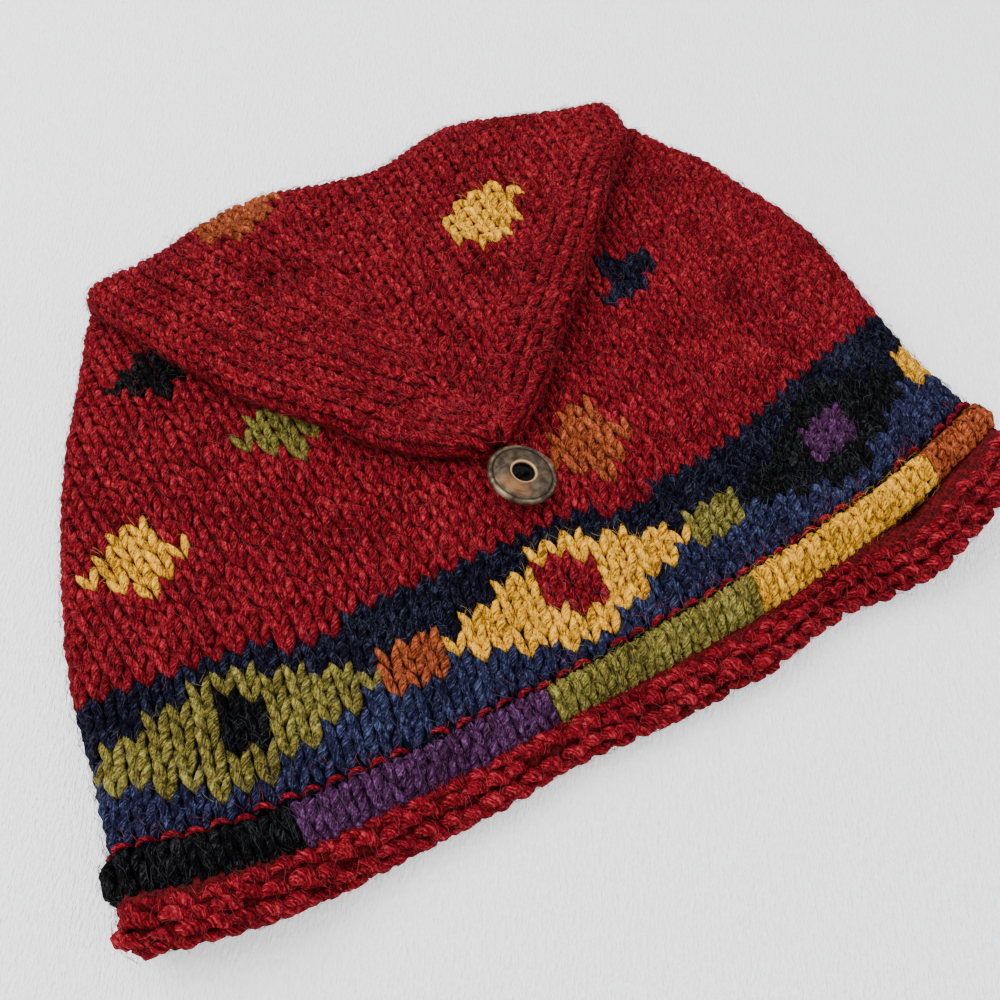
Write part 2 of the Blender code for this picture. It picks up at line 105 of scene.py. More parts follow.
SIDES = (
    (0.00, 1.000, 0.972), (0.12, 1.000, 0.968), (0.22, 0.990, 0.970), (0.32, 0.984, 0.974),
    (0.44, 0.955, 0.984), (0.53, 0.920, 0.986), (0.62, 0.880, 0.960), (0.70, 0.837, 0.920),
    (0.78, 0.786, 0.884), (0.86, 0.738, 0.834), (0.94, 0.692, 0.790), (1.00, 0.655, 0.730),
)
FLAP_EDGES = (
    (0.00, 1.000, 1.000), (0.07, 0.990, 0.988), (0.15, 0.950, 0.977), (0.22, 0.910, 0.958),
    (0.30, 0.863, 0.893), (0.40, 0.806, 0.788), (0.48, 0.752, 0.712), (0.58, 0.670, 0.601),
    (0.69, 0.554, 0.472), (0.79, 0.435, 0.345), (0.90, 0.309, 0.215), (0.96, 0.187, 0.125),
    (1.00, 0.080, 0.050),
)
FLAP_TIP = ((0.930, 1.00), (0.965, 1.00), (0.985, 0.86), (1.000, 0.55))
COURSE_CURVE = (
    (0.00, 0.72, 1.0, 5.0), (0.03, 0.74, 1.0, 5.0), (0.09, 0.90, 1.0, 3.0),
    (0.12, 1.00, 1.0, 2.4), (0.32, 0.94, 0.8, 2.2), (0.52, 0.55, 0.4, 2.2),
    (0.77, 0.10, 0.0, 2.2), (1.00, 0.00, 0.0, 2.2),
)
SLACK = ((0.39, 0.33, 0.26, 0.10, 0.33),)
FRONT_LIFT = (
    (-0.062, -1.42), (-0.032, -1.42), (-0.003, -1.00), (0.015, -0.60), (0.034, -0.25),
    (0.044, -0.10), (0.086, 0.32), (0.144, 0.70), (0.248, 1.00), (0.400, 1.00),
    (0.600, 0.93), (0.810, 0.57), (0.910, 0.28), (0.970, 0.04), (1.000, 0.00),
)
FOLD_LINE = (
    (-1.00, -0.83), (-0.73, -0.50), (-0.52, 0.45), (-0.38, 0.70), (-0.10, 0.00),
    (0.10, -0.35), (0.39, 0.50), (0.58, -0.20), (0.76, -1.10), (1.00, -1.80),
)
DENTS = (
    (-0.30, 0.93, 0.14, 0.34), (0.02, 0.90, 0.10, -0.26), (0.42, 0.90, 0.18, 0.36),
    (-0.72, 0.46, 0.10, -0.26), (0.62, 0.52, 0.16, 0.20), (0.30, 0.30, 0.20, 0.14),
    (-0.35, 0.62, 0.16, 0.18),
)
# Welts: node, share of the loop where it ends, wool
WELTS = (
    ("welt_purple", 0.204, "purple"),
    ("welt_olive", 0.319, "olive"),
    ("welt_gold", 0.442, "gold"),
    ("welt_rust", 0.570, "rust"),
    ("welt_blue", 0.698, "blue"),
    ("welt_back_olive", 0.826, "olive"),
    ("welt_back_gold", 0.954, "gold"),
    ("welt_black", 1.082, "black"),
)

HEM_Y = -HAT_LENGTH / 2
FOLD_Y = HAT_LENGTH / 2
BODY_RADIUS = CROWN_HEIGHT / 2
FLAP_RADIUS = FLAP_HEIGHT / 2
REACH_OUT = BODY_RADIUS + FOLD_CREASE / 2
TURN_Y = FOLD_Y - REACH_OUT - (BODY_RADIUS + FLAP_RADIUS) / 2
FOLD_RISE = BODY_RADIUS + FOLD_CREASE + FLAP_RADIUS
FOLD_SHARE = (FOLD_Y - TURN_Y) / FLAP_LENGTH
FOLD_ARC = math.pi * (REACH_OUT + (BODY_RADIUS + FLAP_RADIUS) / 2)
BAND_START = HEM_Y + ROLL_WIDTH + WELT_WIDTH + 2 * JOINT_GAP
SEAM_Y = BAND_START + BAND_LENGTH + JOINT_GAP
TUBE_END = TURN_Y + FOLD_ARC + (1 - FOLD_SHARE) * FLAP_LENGTH
CREST = TURN_Y + FOLD_ARC / 2

# Knitting: size of a stitch, and the wales and rows of each zone
WALE = 0.00562
WALE_SHIFT = -0.00335
WALE_CLOSING = 0.0000089
BAND_ROWS = 9
ROW = 0.00425
WALE_SPREAD = 0.8
FRONT_WALES = 24
BAND_LEAN = 0.15
BAND_MIDDLE = -0.053
STRAIGHTEN = 0.060
# Edge lines on the front, as place e and distance v: foot and top of the band, foot of the welts
BAND_FOOT = ((-0.130, -0.0730), (-0.100, -0.0733), (-0.070, -0.0716), (-0.040, -0.0701),
             (-0.005, -0.0695), (0.040, -0.0690), (0.090, -0.0696), (0.130, -0.0692))
BAND_TOP = ((-0.130, -0.0340), (-0.095, -0.0333), (-0.050, -0.0338), (-0.005, -0.0332),
            (0.035, -0.0332), (0.066, -0.0320), (0.085, -0.0308), (0.110, -0.0302),
            (0.134, -0.0290))
WELT_FOOT = ((-0.130, -0.0857), (-0.060, -0.0848), (0.000, -0.0838), (0.050, -0.0826),
             (0.090, -0.0806), (0.130, -0.0800))
# How far the rolled hem wanders from its straight line on the front: place e, shift in v
ROLL_WANDER = ((-0.130, -0.0012), (-0.100, 0.0000), (-0.070, 0.0022), (-0.045, 0.0016),
               (-0.025, 0.0028), (0.000, 0.0004), (0.035, -0.0004), (0.052, 0.0026),
               (0.064, 0.0034), (0.076, 0.0012), (0.090, -0.0016), (0.106, 0.0010),
               (0.130, 0.0030))
# Wales where the crown's red reaches one row into the band
SEAM_DIPS = ((-13, -11), (3, 5))
# Where the vertical wales of the flap's middle end: distance v, left and right place e
MITRES = ((0.0900, -0.0300, 0.1200), (0.1026, -0.0285, 0.1080), (0.1150, -0.0260, 0.0984),
          (0.1250, -0.0236, 0.0890), (0.1500, -0.0172, 0.0660), (0.1782, -0.0136, 0.0330),
          (0.2038, -0.0100, 0.0136), (0.2180, -0.0060, 0.0060), (0.2400, -0.0020, 0.0020))

# One leg of a stitch: across in wales, along in rows, height and half thickness in mm
LEG = np.array((
    (0.06, -0.30, -1.10, 0.50),
    (0.14, 0.04, -0.30, 1.14),
    (0.25, 0.46, 0.08, 1.42),
    (0.37, 0.92, -0.20, 1.18),
    (0.44, 1.36, -1.00, 0.50),
))
# One purl bump: the same columns, from one side of its wale to the other
BUMP = np.array((
    (-0.52, -0.34, -1.10, 0.70),
    (-0.34, -0.06, -0.10, 1.55),
    (-0.13, 0.12, 0.40, 1.98),
    (0.13, 0.12, 0.40, 1.98),
    (0.34, -0.06, -0.10, 1.55),
    (0.52, -0.34, -1.10, 0.70),
))
# Bits of red yarn between band and welts: a shorter, thinner bump that stands higher
PURL_BIT = BUMP * (1, 0.6, 1, 0.42) + (0, 0, 1.0, 0)
YARN_SIDES = 5
YARN_FLATNESS = 0.82
GROUND_DEPTH = 0.0010
FLOOR_CUSHION = 0.0006
# Depth of the welts' and the roll's cores, how far the roll's core reaches under the welts, and
# the distance between rows of its bumps
WELT_CORE_DEPTH = 0.0016
ROLL_CORE_DEPTH = 0.0010
ROLL_JOINING = 0.0026
BUMP_PITCH = 0.0040
# How far inside the flap's outline the front has no stitches
FLAP_COVER = 0.011
# Hairs: heights over the cloth in mm from root to free end, and the share of the lift at each
HAIR_HEIGHTS = np.array((0.70, 1.28, 1.36, 1.20))
HAIR_LIFT = np.array((0.0, 0.35, 0.75, 1.0))
HAIR_STEPS = np.array((-0.50, -0.17, 0.17, 0.50))

# Chart of one eye, top row first, and the rows of the square for each of its wales
EYE = (
    ".............",
    ".....ooo.....",
    "...ooooooo...",
    ".ooooooooooo.",
    "ooooooooooooo",
    ".ooooooooooo.",
    "...ooooooo...",
    ".....ooo.....",
    ".............",
)
TALL_SQUARE = {-1: (2, 3, 4), 0: (2, 3, 4, 5), 1: (3, 4, 5)}
NARROW_SQUARE = {0: (2, 3, 4, 5), 1: (3, 4, 5)}
LOW_SQUARE = {-1: (3, 4, 5), 0: (3, 4, 5), 1: (3, 4, 5)}
BLOCK_ROWS = (3, 4, 5)
NAVY_ROWS = (0, 1, 2, 3)
# Eyes: layer, wale in the middle, wool, the square and its wool
EYES = (
    (1, -16, "olive", NARROW_SQUARE, "black"), (1, 0, "gold", TALL_SQUARE, "red"),
    (1, 16, "black", LOW_SQUARE, "purple"), (-1, -16, "rust", LOW_SQUARE, "navy"),
    (-1, 0, "olive", NARROW_SQUARE, "black"), (-1, 16, "gold", TALL_SQUARE, "red"),
)
BLOCKS = (
    (1, -8, "rust"), (1, 8, "olive"), (1, 24, "gold"),
    (-1, -8, "gold"), (-1, 8, "rust"), (-1, 24, "gold"),
)
# Spots, top row first
SPOT = ("..XX.", ".XXX.", "XXXXX", ".XXX.", "..X..")
SMALL_SPOT = (".X...", ".XXX.", ".XXX.", "XXX..")
FLAP_SPOT = (".XXX.", "XXXXX", "XXXX.", "XXXX.", ".XX..")
# Spots in the crown: layer, wale and row of the middle, chart, wool
SPOTS = (
    (1, -17, 16, SPOT, "gold"), (1, -12, 29, SPOT, "black"), (1, -8, 21, SPOT, "olive"),
    (1, 12, 21, SMALL_SPOT, "navy"), (1, 4, 12, SPOT, "rust"),
    (-1, -18, 17, SPOT, "olive"), (-1, -8, 24, SPOT, "gold"), (-1, 2, 15, SPOT, "navy"),
    (-1, 12, 24, SMALL_SPOT, "rust"), (-1, 20, 15, SPOT, "black"), (-1, 7, 38, SPOT, "navy"),
)
# Spot on the flap: wale and row of its middle, wool; patch on the fold: e, v and half sizes
FLAP_SPOT_PLACE = (6, 12, "gold")
FOLD_PATCH = (-0.0345, 0.1120, 0.0130, 0.0160, "rust")

WOOLS = ("red", "navy", "blue", "purple", "olive", "gold", "rust", "black")


def read_table(table, column, place):
    """Smooth cubic reading of one column of a table at the places given."""
    stops = np.array([row[0] for row in table])
    values = np.array([row[column] for row in table])
    slopes = np.gradient(values, stops)
    place = np.clip(place, stops[0], stops[-1])
    left = np.clip(np.searchsorted(stops, place) - 1, 0, len(stops) - 2)
    width = stops[left + 1] - stops[left]
    t = (place - stops[left]) / width
    rise = values[left + 1] - values[left]
    bend = (t - 1) ** 2 * t * slopes[left] + t * t * (t - 1) * slopes[left + 1]
    return values[left] + rise * t * t * (3 - 2 * t) + width * bend


def smoothstep(value):
    value = np.clip(value, 0.0, 1.0)
    return value * value * (3 - 2 * value)


def side_reach(y):
    """Left and right edge of the hat's wall at a height y of the flat layout."""
    share = (y - HEM_Y) / HAT_LENGTH
    left = -read_table(SIDES, 1, share) * HAT_WIDTH / 2
    right = read_table(SIDES, 2, share) * HAT_WIDTH / 2
    return left, right


def across(x, y):
    """Place across the hat: -1 on the left edge, 1 on the right edge."""
    left, right = side_reach(y)
    return np.clip(2 * (x - left) / (right - left) - 1, -1.0, 1.0)


def front_lift(x, y):
    """Height of the puffed front: PUFF times a table along the hat, rounded off at the sides,
    plus a bell curve for each soft dent or rise."""
    share = (y - HEM_Y) / HAT_LENGTH
    place = across(x, y)
    lift = PUFF * read_table(FRONT_LIFT, 1, share)
    rising = 1 - place ** 4
    sinking = smoothstep((SINK_START - np.abs(place)) / (SINK_START - SINK_FULL))
    lift = lift * np.where(lift > 0, rising, sinking)
    for dent_across, dent_share, reach, height in DENTS:
        radius = reach * HAT_WIDTH / 2
        dx = (place - dent_across) * HAT_WIDTH / 2
        dy = (share - dent_share) * HAT_LENGTH
        lift = lift + PUFF * height * np.exp(-(dx * dx + dy * dy) / radius ** 2) * rising
    return lift


def drape(x, y, z, front, curve):
    """Bend the flat layout: courses bow towards the hem on the front and away from it on the
    back, the fold waves, and the front is lifted by front_lift()."""
    share = (y - HEM_Y) / HAT_LENGTH
    place = across(x, y)
    bow = curve * (1 - np.abs(place) ** read_table(COURSE_CURVE, 3, share))
    drop = FRONT_DROP * read_table(COURSE_CURVE, 1, share)
    rise = BACK_RISE * read_table(COURSE_CURVE, 2, share)
    growth = (share - WAVE_GROWTH[0]) / (WAVE_GROWTH[1] - WAVE_GROWTH[0])
    wave = FOLD_WAVE * read_table(FOLD_LINE, 1, place) * smoothstep(growth)
    sag = np.zeros_like(y)
    for middle, middle_share, wide, long, depth in SLACK:
        away = ((place - middle) / wide) ** 2 + ((share - middle_share) / long) ** 2
        sag = sag + FRONT_DROP * depth * np.exp(-away)
    y = y + bow * (rise * (1 - front) - drop * front) - curve * front * sag + wave
    return np.stack((x, y, z + front * front_lift(x, y)), axis=-1)


def tube_at(v):
    """Turn, middle line, half height and side edges of the tube at distances v along it."""
    turn = np.clip((v - TURN_Y) / FOLD_ARC, 0, 1) * math.pi
    on_flap = np.maximum(v - TURN_Y - FOLD_ARC, 0)
    station = FOLD_SHARE * turn / math.pi + on_flap / FLAP_LENGTH
    radius = BODY_RADIUS + (FLAP_RADIUS - BODY_RADIUS) * turn / math.pi
    thinning = smoothstep((station - FLAP_THINNING[0]) / (FLAP_THINNING[1] - FLAP_THINNING[0]))
    roundness = np.interp(station, [row[0] for row in FLAP_TIP], [row[1] for row in FLAP_TIP])
    thick = (FLAP_RADIUS + (FLAP_TIP_HEIGHT / 2 - FLAP_RADIUS) * thinning) * roundness
    radius = np.where(on_flap > 0, thick, radius)
    raised = (HEM_HEIGHT - CROWN_HEIGHT) / 2
    body_z = BODY_RADIUS + raised * (1 - smoothstep((v - BAND_START) / HEM_LIFT_LENGTH))
    fold_z = BODY_RADIUS + FOLD_RISE * (1 - np.cos(turn)) / 2
    middle_z = np.where(turn > 0, fold_z, body_z) - (on_flap > 0) * (FLAP_RADIUS - radius) / 2
    middle_y = np.minimum(v, TURN_Y) + REACH_OUT * np.sin(turn) - on_flap
    layout_y = np.minimum(v, TURN_Y) + (FOLD_Y - TURN_Y) * smoothstep(2 * turn / math.pi)
    left, right = side_reach(layout_y)
    left = FLAP_TIP_X + (left - FLAP_TIP_X) * read_table(FLAP_EDGES, 1, station)
    right = FLAP_TIP_X + (right - FLAP_TIP_X) * read_table(FLAP_EDGES, 2, station)
    return turn, middle_y, middle_z, radius, left, right


def cloth(e, v, layer, out):
    """Point of the crown or band: the straight run of a flattened tube, then a quarter turn of
    the tube's half height at each side, turned over at the fold and draped."""
    e, v, layer, out = (np.array(part, float) for part in np.broadcast_arrays(e, v, layer, out))
    turn, middle_y, middle_z, radius, left, right = tube_at(v)
    low = left + radius
    high = right - radius
    past = np.where(e > high, e - high, np.where(e < low, e - low, 0.0))
    angle = np.clip(np.abs(past) / radius, 0, math.pi)
    x = np.clip(e, low, high) + np.sign(past) * (radius + out) * np.sin(angle)
    away = layer * (radius + out) * np.cos(angle)
    inner = np.maximum(radius - CROWN_WALL, 0.0008)
    weight = smoothstep((away + inner) / (2 * inner))
    weight = np.maximum(weight, smoothstep(turn / math.pi))
    y = middle_y - away * np.sin(turn)
    z = middle_z + away * np.cos(turn)
    curve = np.clip(1 - turn / 0.3, 0, 1)
    return drape(x, y, z, weight, curve)


def edge_places(v):
    """Distances e of the left and right side lines, halfway round the side turns."""
    _, _, _, radius, left, right = tube_at(v)
    quarter = math.pi / 2 * radius
    return left + radius - quarter, right - radius + quarter


def bead(e, angle, layer, out, middle_y, half_width, thickness, power):
    """Point of a bead that shares the loop round the hem: a rounded box, cos and sin of an angle
    raised to a power, carried round a flattened loop."""
    e, angle, layer, out = (np.array(p, float) for p in np.broadcast_arrays(e, angle, layer, out))
    cosine = np.cos(angle)
    sine = np.sin(angle)
    along = np.sign(cosine) * np.abs(cosine) ** power * (half_width + out)
    outward = np.sign(sine) * np.abs(sine) ** power * (thickness / 2 + out) - thickness / 2
    radius = HEM_HEIGHT / 2
    y = middle_y + along
    left, right = side_reach(y)
    low = left + BODY_RADIUS
    high = right - BODY_RADIUS
    past = np.where(e > high, e - high, np.where(e < low, e - low, 0.0))
    swing = np.clip(np.abs(past) / (radius - thickness / 2), 0, math.pi)
    x = np.clip(e, low, high) + np.sign(past) * (radius + outward) * np.sin(swing)
    away = layer * (radius + outward) * np.cos(swing)
    inner = radius - thickness
    weight = smoothstep((away + inner) / (2 * inner))
    return drape(x, y, radius + away, weight, 1.0)


def loop_lengths():
    """Quarter turn and straight run of the loop that the welts share out."""
    quarter = math.pi / 2 * (HEM_HEIGHT - WELT_THICKNESS) / 2
    return quarter, HAT_WIDTH - CROWN_HEIGHT


def welt_wool(e, layer):
    """Index into WELTS for places of the loop; the loop starts at the left and runs along the
    front first, so its share is the distance from there over its whole length."""
    quarter, straight = loop_lengths()
    half = 2 * quarter + straight
    distance = np.where(layer > 0, e + half / 2, half + half / 2 - e)
    share = np.mod(distance / (2 * half), 1.0)
    share = np.where(share < WELTS[-1][1] - 1, share + 1, share)
    return np.searchsorted([row[1] for row in WELTS], share)


def strand_frames(centres, up):
    """Sideways and upward unit vectors along strands: up made square to each strand's run."""
    run = np.gradient(centres, axis=-2)
    run /= np.maximum(np.linalg.norm(run, axis=-1, keepdims=True), 1e-12)
    side = np.cross(run, up)
    side /= np.maximum(np.linalg.norm(side, axis=-1, keepdims=True), 1e-12)
    return side, np.cross(side, run)


def strands_mesh(centres, half, up, sides, tone, flatten=1.0, tips=None):
    """Closed tubes: circles of the given half thickness carried along rows of centres, closed at
    each end by a point, on the end's centre or on the tip given.

    centres is (strands, rings, 3), half (strands, rings) and tone one number for each strand.
    """
    count, rings, _ = centres.shape
    side, raised = strand_frames(centres, up)
    angle = -math.pi / 2 + 2 * math.pi * np.arange(sides) / sides
    ring = (half[..., None, None] * (np.cos(angle)[:, None] * side[:, :, None, :]
            + flatten * np.sin(angle)[:, None] * raised[:, :, None, :]))
    body = (centres[:, :, None, :] + ring).reshape(count, rings * sides, 3)
    ends = centres[:, (0, -1), :] if tips is None else tips
    points = np.concatenate((body, ends), axis=1)
    per = rings * sides + 2
    i = np.arange(rings - 1)[:, None]
    j = np.arange(sides)[None, :]
    after = (j + 1) % sides
    quads = np.stack((i * sides + j, (i + 1) * sides + j, (i + 1) * sides + after,
                      i * sides + after), axis=-1).reshape(-1, 4)
    j = j[0]
    after = after[0]
    first = np.stack((np.full(sides, per - 2), j, after), axis=-1)
    last = (rings - 1) * sides
    second = np.stack((np.full(sides, per - 1), last + after, last + j), axis=-1)
    tris = np.concatenate((first, second))
    length = np.concatenate((np.zeros((count, 1)), np.cumsum(
        np.linalg.norm(np.diff(centres, axis=1), axis=-1), axis=1)), axis=1) * 1000
    low = length[:, i.T[0]]
    high = length[:, i.T[0] + 1]
    u = np.stack((low, high, high, low), axis=-1)[:, :, None, :].repeat(sides, axis=2)
    around = np.stack((j, j, j + 1, j + 1), axis=-1) / sides
    w = np.broadcast_to(around[None, None], u.shape)
    quad_uv = np.stack((u, w), axis=-1).reshape(count, -1, 4, 2)
    start = np.stack((j + 0.5, j, j + 1), axis=-1) / sides
    finish = np.stack((j + 0.5, j + 1, j), axis=-1) / sides
    tri_w = np.broadcast_to(np.concatenate((start, finish))[None], (count, 2 * sides, 3))
    tri_u = np.repeat(np.stack((length[:, 0], length[:, -1]), axis=1), sides, axis=1)
    tri_uv = np.stack((np.broadcast_to(tri_u[:, :, None], tri_w.shape), tri_w), axis=-1)
    shift = (np.arange(count) * per)[:, None, None]
    return {
        "points": points.reshape(-1, 3),
        "quads": (quads[None] + shift).reshape(-1, 4),
        "tris": (tris[None] + shift).reshape(-1, 3),
        "quad_uv": quad_uv.reshape(-1, 4, 2),
        "tri_uv": tri_uv.reshape(-1, 3, 2),
        "tone": np.repeat(tone, per),
    }


def add_piece(name, parts, material, slot, replaces=()):
    """Join arrays of points and faces into one smooth mesh object that rides on the body; points
    that would dip into the floor are pressed up against it."""
    shift = 0
    points, quads, tris, quad_uv, tri_uv, tone = [], [], [], [], [], []
    for part in parts:
        points.append(part["points"])
        quads.append(part["quads"] + shift)
        tris.append(part["tris"] + shift)
        quad_uv.append(part["quad_uv"])
        tri_uv.append(part["tri_uv"])
        tone.append(part["tone"])
        shift += len(part["points"])
    points = np.concatenate(points)
    low = points[:, 2] < FLOOR_CUSHION
    points[low, 2] = FLOOR_CUSHION * np.exp(points[low, 2] / FLOOR_CUSHION - 1)
    quads = np.concatenate(quads)
    tris = np.concatenate(tris)
    if not len(points):
        raise RuntimeError("nothing to make for " + name)
    mesh = bpy.data.meshes.new(name)
    mesh.vertices.add(len(points))
    mesh.vertices.foreach_set("co", points.astype(np.float32).ravel())
    corners = np.concatenate((quads.ravel(), tris.ravel()))
    mesh.loops.add(len(corners))
    mesh.loops.foreach_set("vertex_index", corners.astype(np.int32))
    mesh.polygons.add(len(quads) + len(tris))
    starts = np.concatenate((np.arange(len(quads)) * 4, 4 * len(quads) + np.arange(len(tris)) * 3))
    mesh.polygons.foreach_set("loop_start", starts.astype(np.int32))
    mesh.update(calc_edges=True)
    layer = mesh.uv_layers.new(name="yarn")
    uv = np.concatenate((np.concatenate(quad_uv).reshape(-1, 2), np.concatenate(tri_uv).reshape(-1, 2)))
    layer.data.foreach_set("uv", uv.astype(np.float32).ravel())
    attribute = mesh.attributes.new("tone", "FLOAT", "POINT")
    attribute.data.foreach_set("value", np.concatenate(tone).astype(np.float32))
    mesh.shade_smooth()
    mesh.materials.append(material)
    mesh.validate()
    piece = bpy.data.objects.new(name, mesh)
    bpy.context.scene.collection.objects.link(piece)
    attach(piece, BODY)
    if replaces:
        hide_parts(*replaces)
    return piece


def stitch_hairs(surface, e, v, layer, turned, wide, tall, rng, hairs):
    """Fine fibres over the stitches: each is a slightly bent line of four points that starts in
    a stitch, runs roughly along one of its legs and rises towards its free end."""
    pick = np.repeat(np.arange(len(e)), hairs)
    count = len(pick)
    length = rng.uniform(0.0022, 0.0060, count)
    heading = turned[pick] + rng.choice((-0.45, 0.45), count) + rng.normal(0, 0.5, count)
    heading = heading + math.pi * (rng.random(count) < 0.5)
    bend = rng.normal(0, 0.45, count) * length
    start_e = e[pick] + rng.uniform(-0.55, 0.55, count) * wide[pick]
    start_v = v[pick] + rng.uniform(-0.1, 1.1, count) * tall[pick]
    along = HAIR_STEPS[None, :] * length[:, None]
    aside = HAIR_STEPS[None, :] ** 2 * bend[:, None]
    cosine = np.cos(heading)[:, None]
    sine = np.sin(heading)[:, None]
    lift = rng.beta(1.1, 4.5, count)[:, None] * HAIR_LIFT[None, :] * 3.0
    out = (HAIR_HEIGHTS[None, :] + lift) / 1000
    path = surface(start_e[:, None] + sine * along + cosine * aside,
                   start_v[:, None] + cosine * along - sine * aside, layer[pick][:, None], out)
    half = rng.uniform(0.000035, 0.00007, count)[:, None] * np.ones(2)
    up = np.broadcast_to((0.12, 0.21, 0.97), path[:, 1:-1].shape)
    tone = 1.2 + 0.8 * rng.random(count)
    return strands_mesh(path[:, 1:-1], half, up, 3, tone, tips=path[:, (0, -1)])


def stitch_strands(surface, e, v, layer, turned, wide, rng, shape=LEG, mirrored=True, loose=1.0,
                   tall=ROW, hairs=0):
    """Yarn of whole stitches: each row of the shape table gives a place across and along the
    stitch, a height over the surface and a half thickness.

    turned is the lean of the wale, in radians, wide and tall the size of a stitch, and hairs the
    number of fine fibres over each one.
    """
    tall = np.broadcast_to(tall, e.shape)
    signs = (-1.0, 1.0) if mirrored else (1.0,)
    parts = []
    if hairs and len(e):
        parts.append(stitch_hairs(surface, e, v, layer, turned, wide, tall, rng, hairs))
    for sign in signs:
        count = len(e)
        jitter = rng.normal(0, 1, (count, 4)) * loose
        a = sign * shape[None, :, 0] + 0.035 * jitter[:, :1]
        b = shape[None, :, 1] + 0.05 * jitter[:, 1:2]
        a = a * wide[:, None]
        b = b * tall[:, None]
        height = (shape[None, :, 2] + 0.12 * jitter[:, 2:3]) / 1000
        half = shape[None, :, 3] / 1000 * (1 + 0.06 * jitter[:, 3:4])
        cosine = np.cos(turned)[:, None]
        sine = np.sin(turned)[:, None]
        place_e = e[:, None] + a * cosine + b * sine
        place_v = v[:, None] - a * sine + b * cosine
        centres = surface(place_e, place_v, layer[:, None], height)
        above = surface(place_e, place_v, layer[:, None], height + 0.0004)
        up = above - centres
        up /= np.maximum(np.linalg.norm(up, axis=-1, keepdims=True), 1e-12)
        tone = np.clip(0.5 + 0.2 * rng.normal(0, 1, count), 0, 1)
        parts.append(strands_mesh(centres, half, up, YARN_SIDES, tone, YARN_FLATNESS))
    return parts


def grid_part(points):
    """Quads over a grid of points (rows, columns, 3), closed round its columns."""
    rows, columns, _ = points.shape
    i = np.arange(rows - 1)[:, None]
    j = np.arange(columns)[None, :]
    after = (j + 1) % columns
    quads = np.stack((i * columns + j, i * columns + after, (i + 1) * columns + after,
                      (i + 1) * columns + j), axis=-1).reshape(-1, 4)
    uv = np.zeros((len(quads), 4, 2))
    uv[..., 0] = (quads // columns) * 1.0
    uv[..., 1] = (quads % columns) / columns
    empty = np.zeros((0, 3), int)
    return {"points": points.reshape(-1, 3), "quads": quads, "tris": empty, "quad_uv": uv,
            "tri_uv": np.zeros((0, 3, 2)), "tone": np.full(rows * columns, 0.4)}


def orient(piece):
    """Turn every face outwards after joining coincident points."""
    bm = bmesh.new()
    bm.from_mesh(piece.data)
    bmesh.ops.remove_doubles(bm, verts=bm.verts[:], dist=1e-6)
    bmesh.ops.recalc_face_normals(bm, faces=bm.faces[:])
    bm.to_mesh(piece.data)
    bm.free()
    piece.data.shade_smooth()


def loop_columns(v, count):
    """Places e and layers once round the tube at each v: front left to right, back again."""
    left, right = edge_places(v)
    share = np.arange(count) / count
    there = np.concatenate((share, 1 - share))
    e = left[:, None] + (right - left)[:, None] * there[None, :]
    layer = np.concatenate((np.ones(count), -np.ones(count)))
    return e, np.broadcast_to(layer[None, :], e.shape)


def shell_grid(v, outer, inner, columns=72):
    """Closed wall of the tube: its outer and inner surface as one grid, joined at both ends."""
    e, layer = loop_columns(v, columns)
    outside = cloth(e, v[:, None], layer, -outer)
    inside = cloth(e, v[:, None], layer, -inner)
    return np.concatenate((outside, inside[::-1], outside[:1]))


class Value:
    """A shader socket with Python arithmetic: every operator adds one Math node."""

    def __init__(self, shader, socket):
        self.shader = shader
        self.socket = socket

    def math(self, operation, *others):
        return self.shader.node("ShaderNodeMath", {"operation": operation}, (self, *others))

    def __add__(self, other):
        return self.math("ADD", other)

    def __radd__(self, other):
        return self.shader.node("ShaderNodeMath", {"operation": "ADD"}, (other, self))

    def __sub__(self, other):
        return self.math("SUBTRACT", other)

    def __rsub__(self, other):
        return self.shader.node("ShaderNodeMath", {"operation": "SUBTRACT"}, (other, self))

    def __mul__(self, other):
        return self.math("MULTIPLY", other)

    def __rmul__(self, other):
        return self.shader.node("ShaderNodeMath", {"operation": "MULTIPLY"}, (other, self))

    def sin(self):
        return self.math("SINE")

    def absolute(self):
        return self.math("ABSOLUTE")

    def between(self, low, high):
        """0 below low, 1 above high, smooth between them."""
        return self.shader.node("ShaderNodeMapRange", {"interpolation_type": "SMOOTHSTEP"},
                                {"Value": self, "From Min": low, "From Max": high}, "Result")


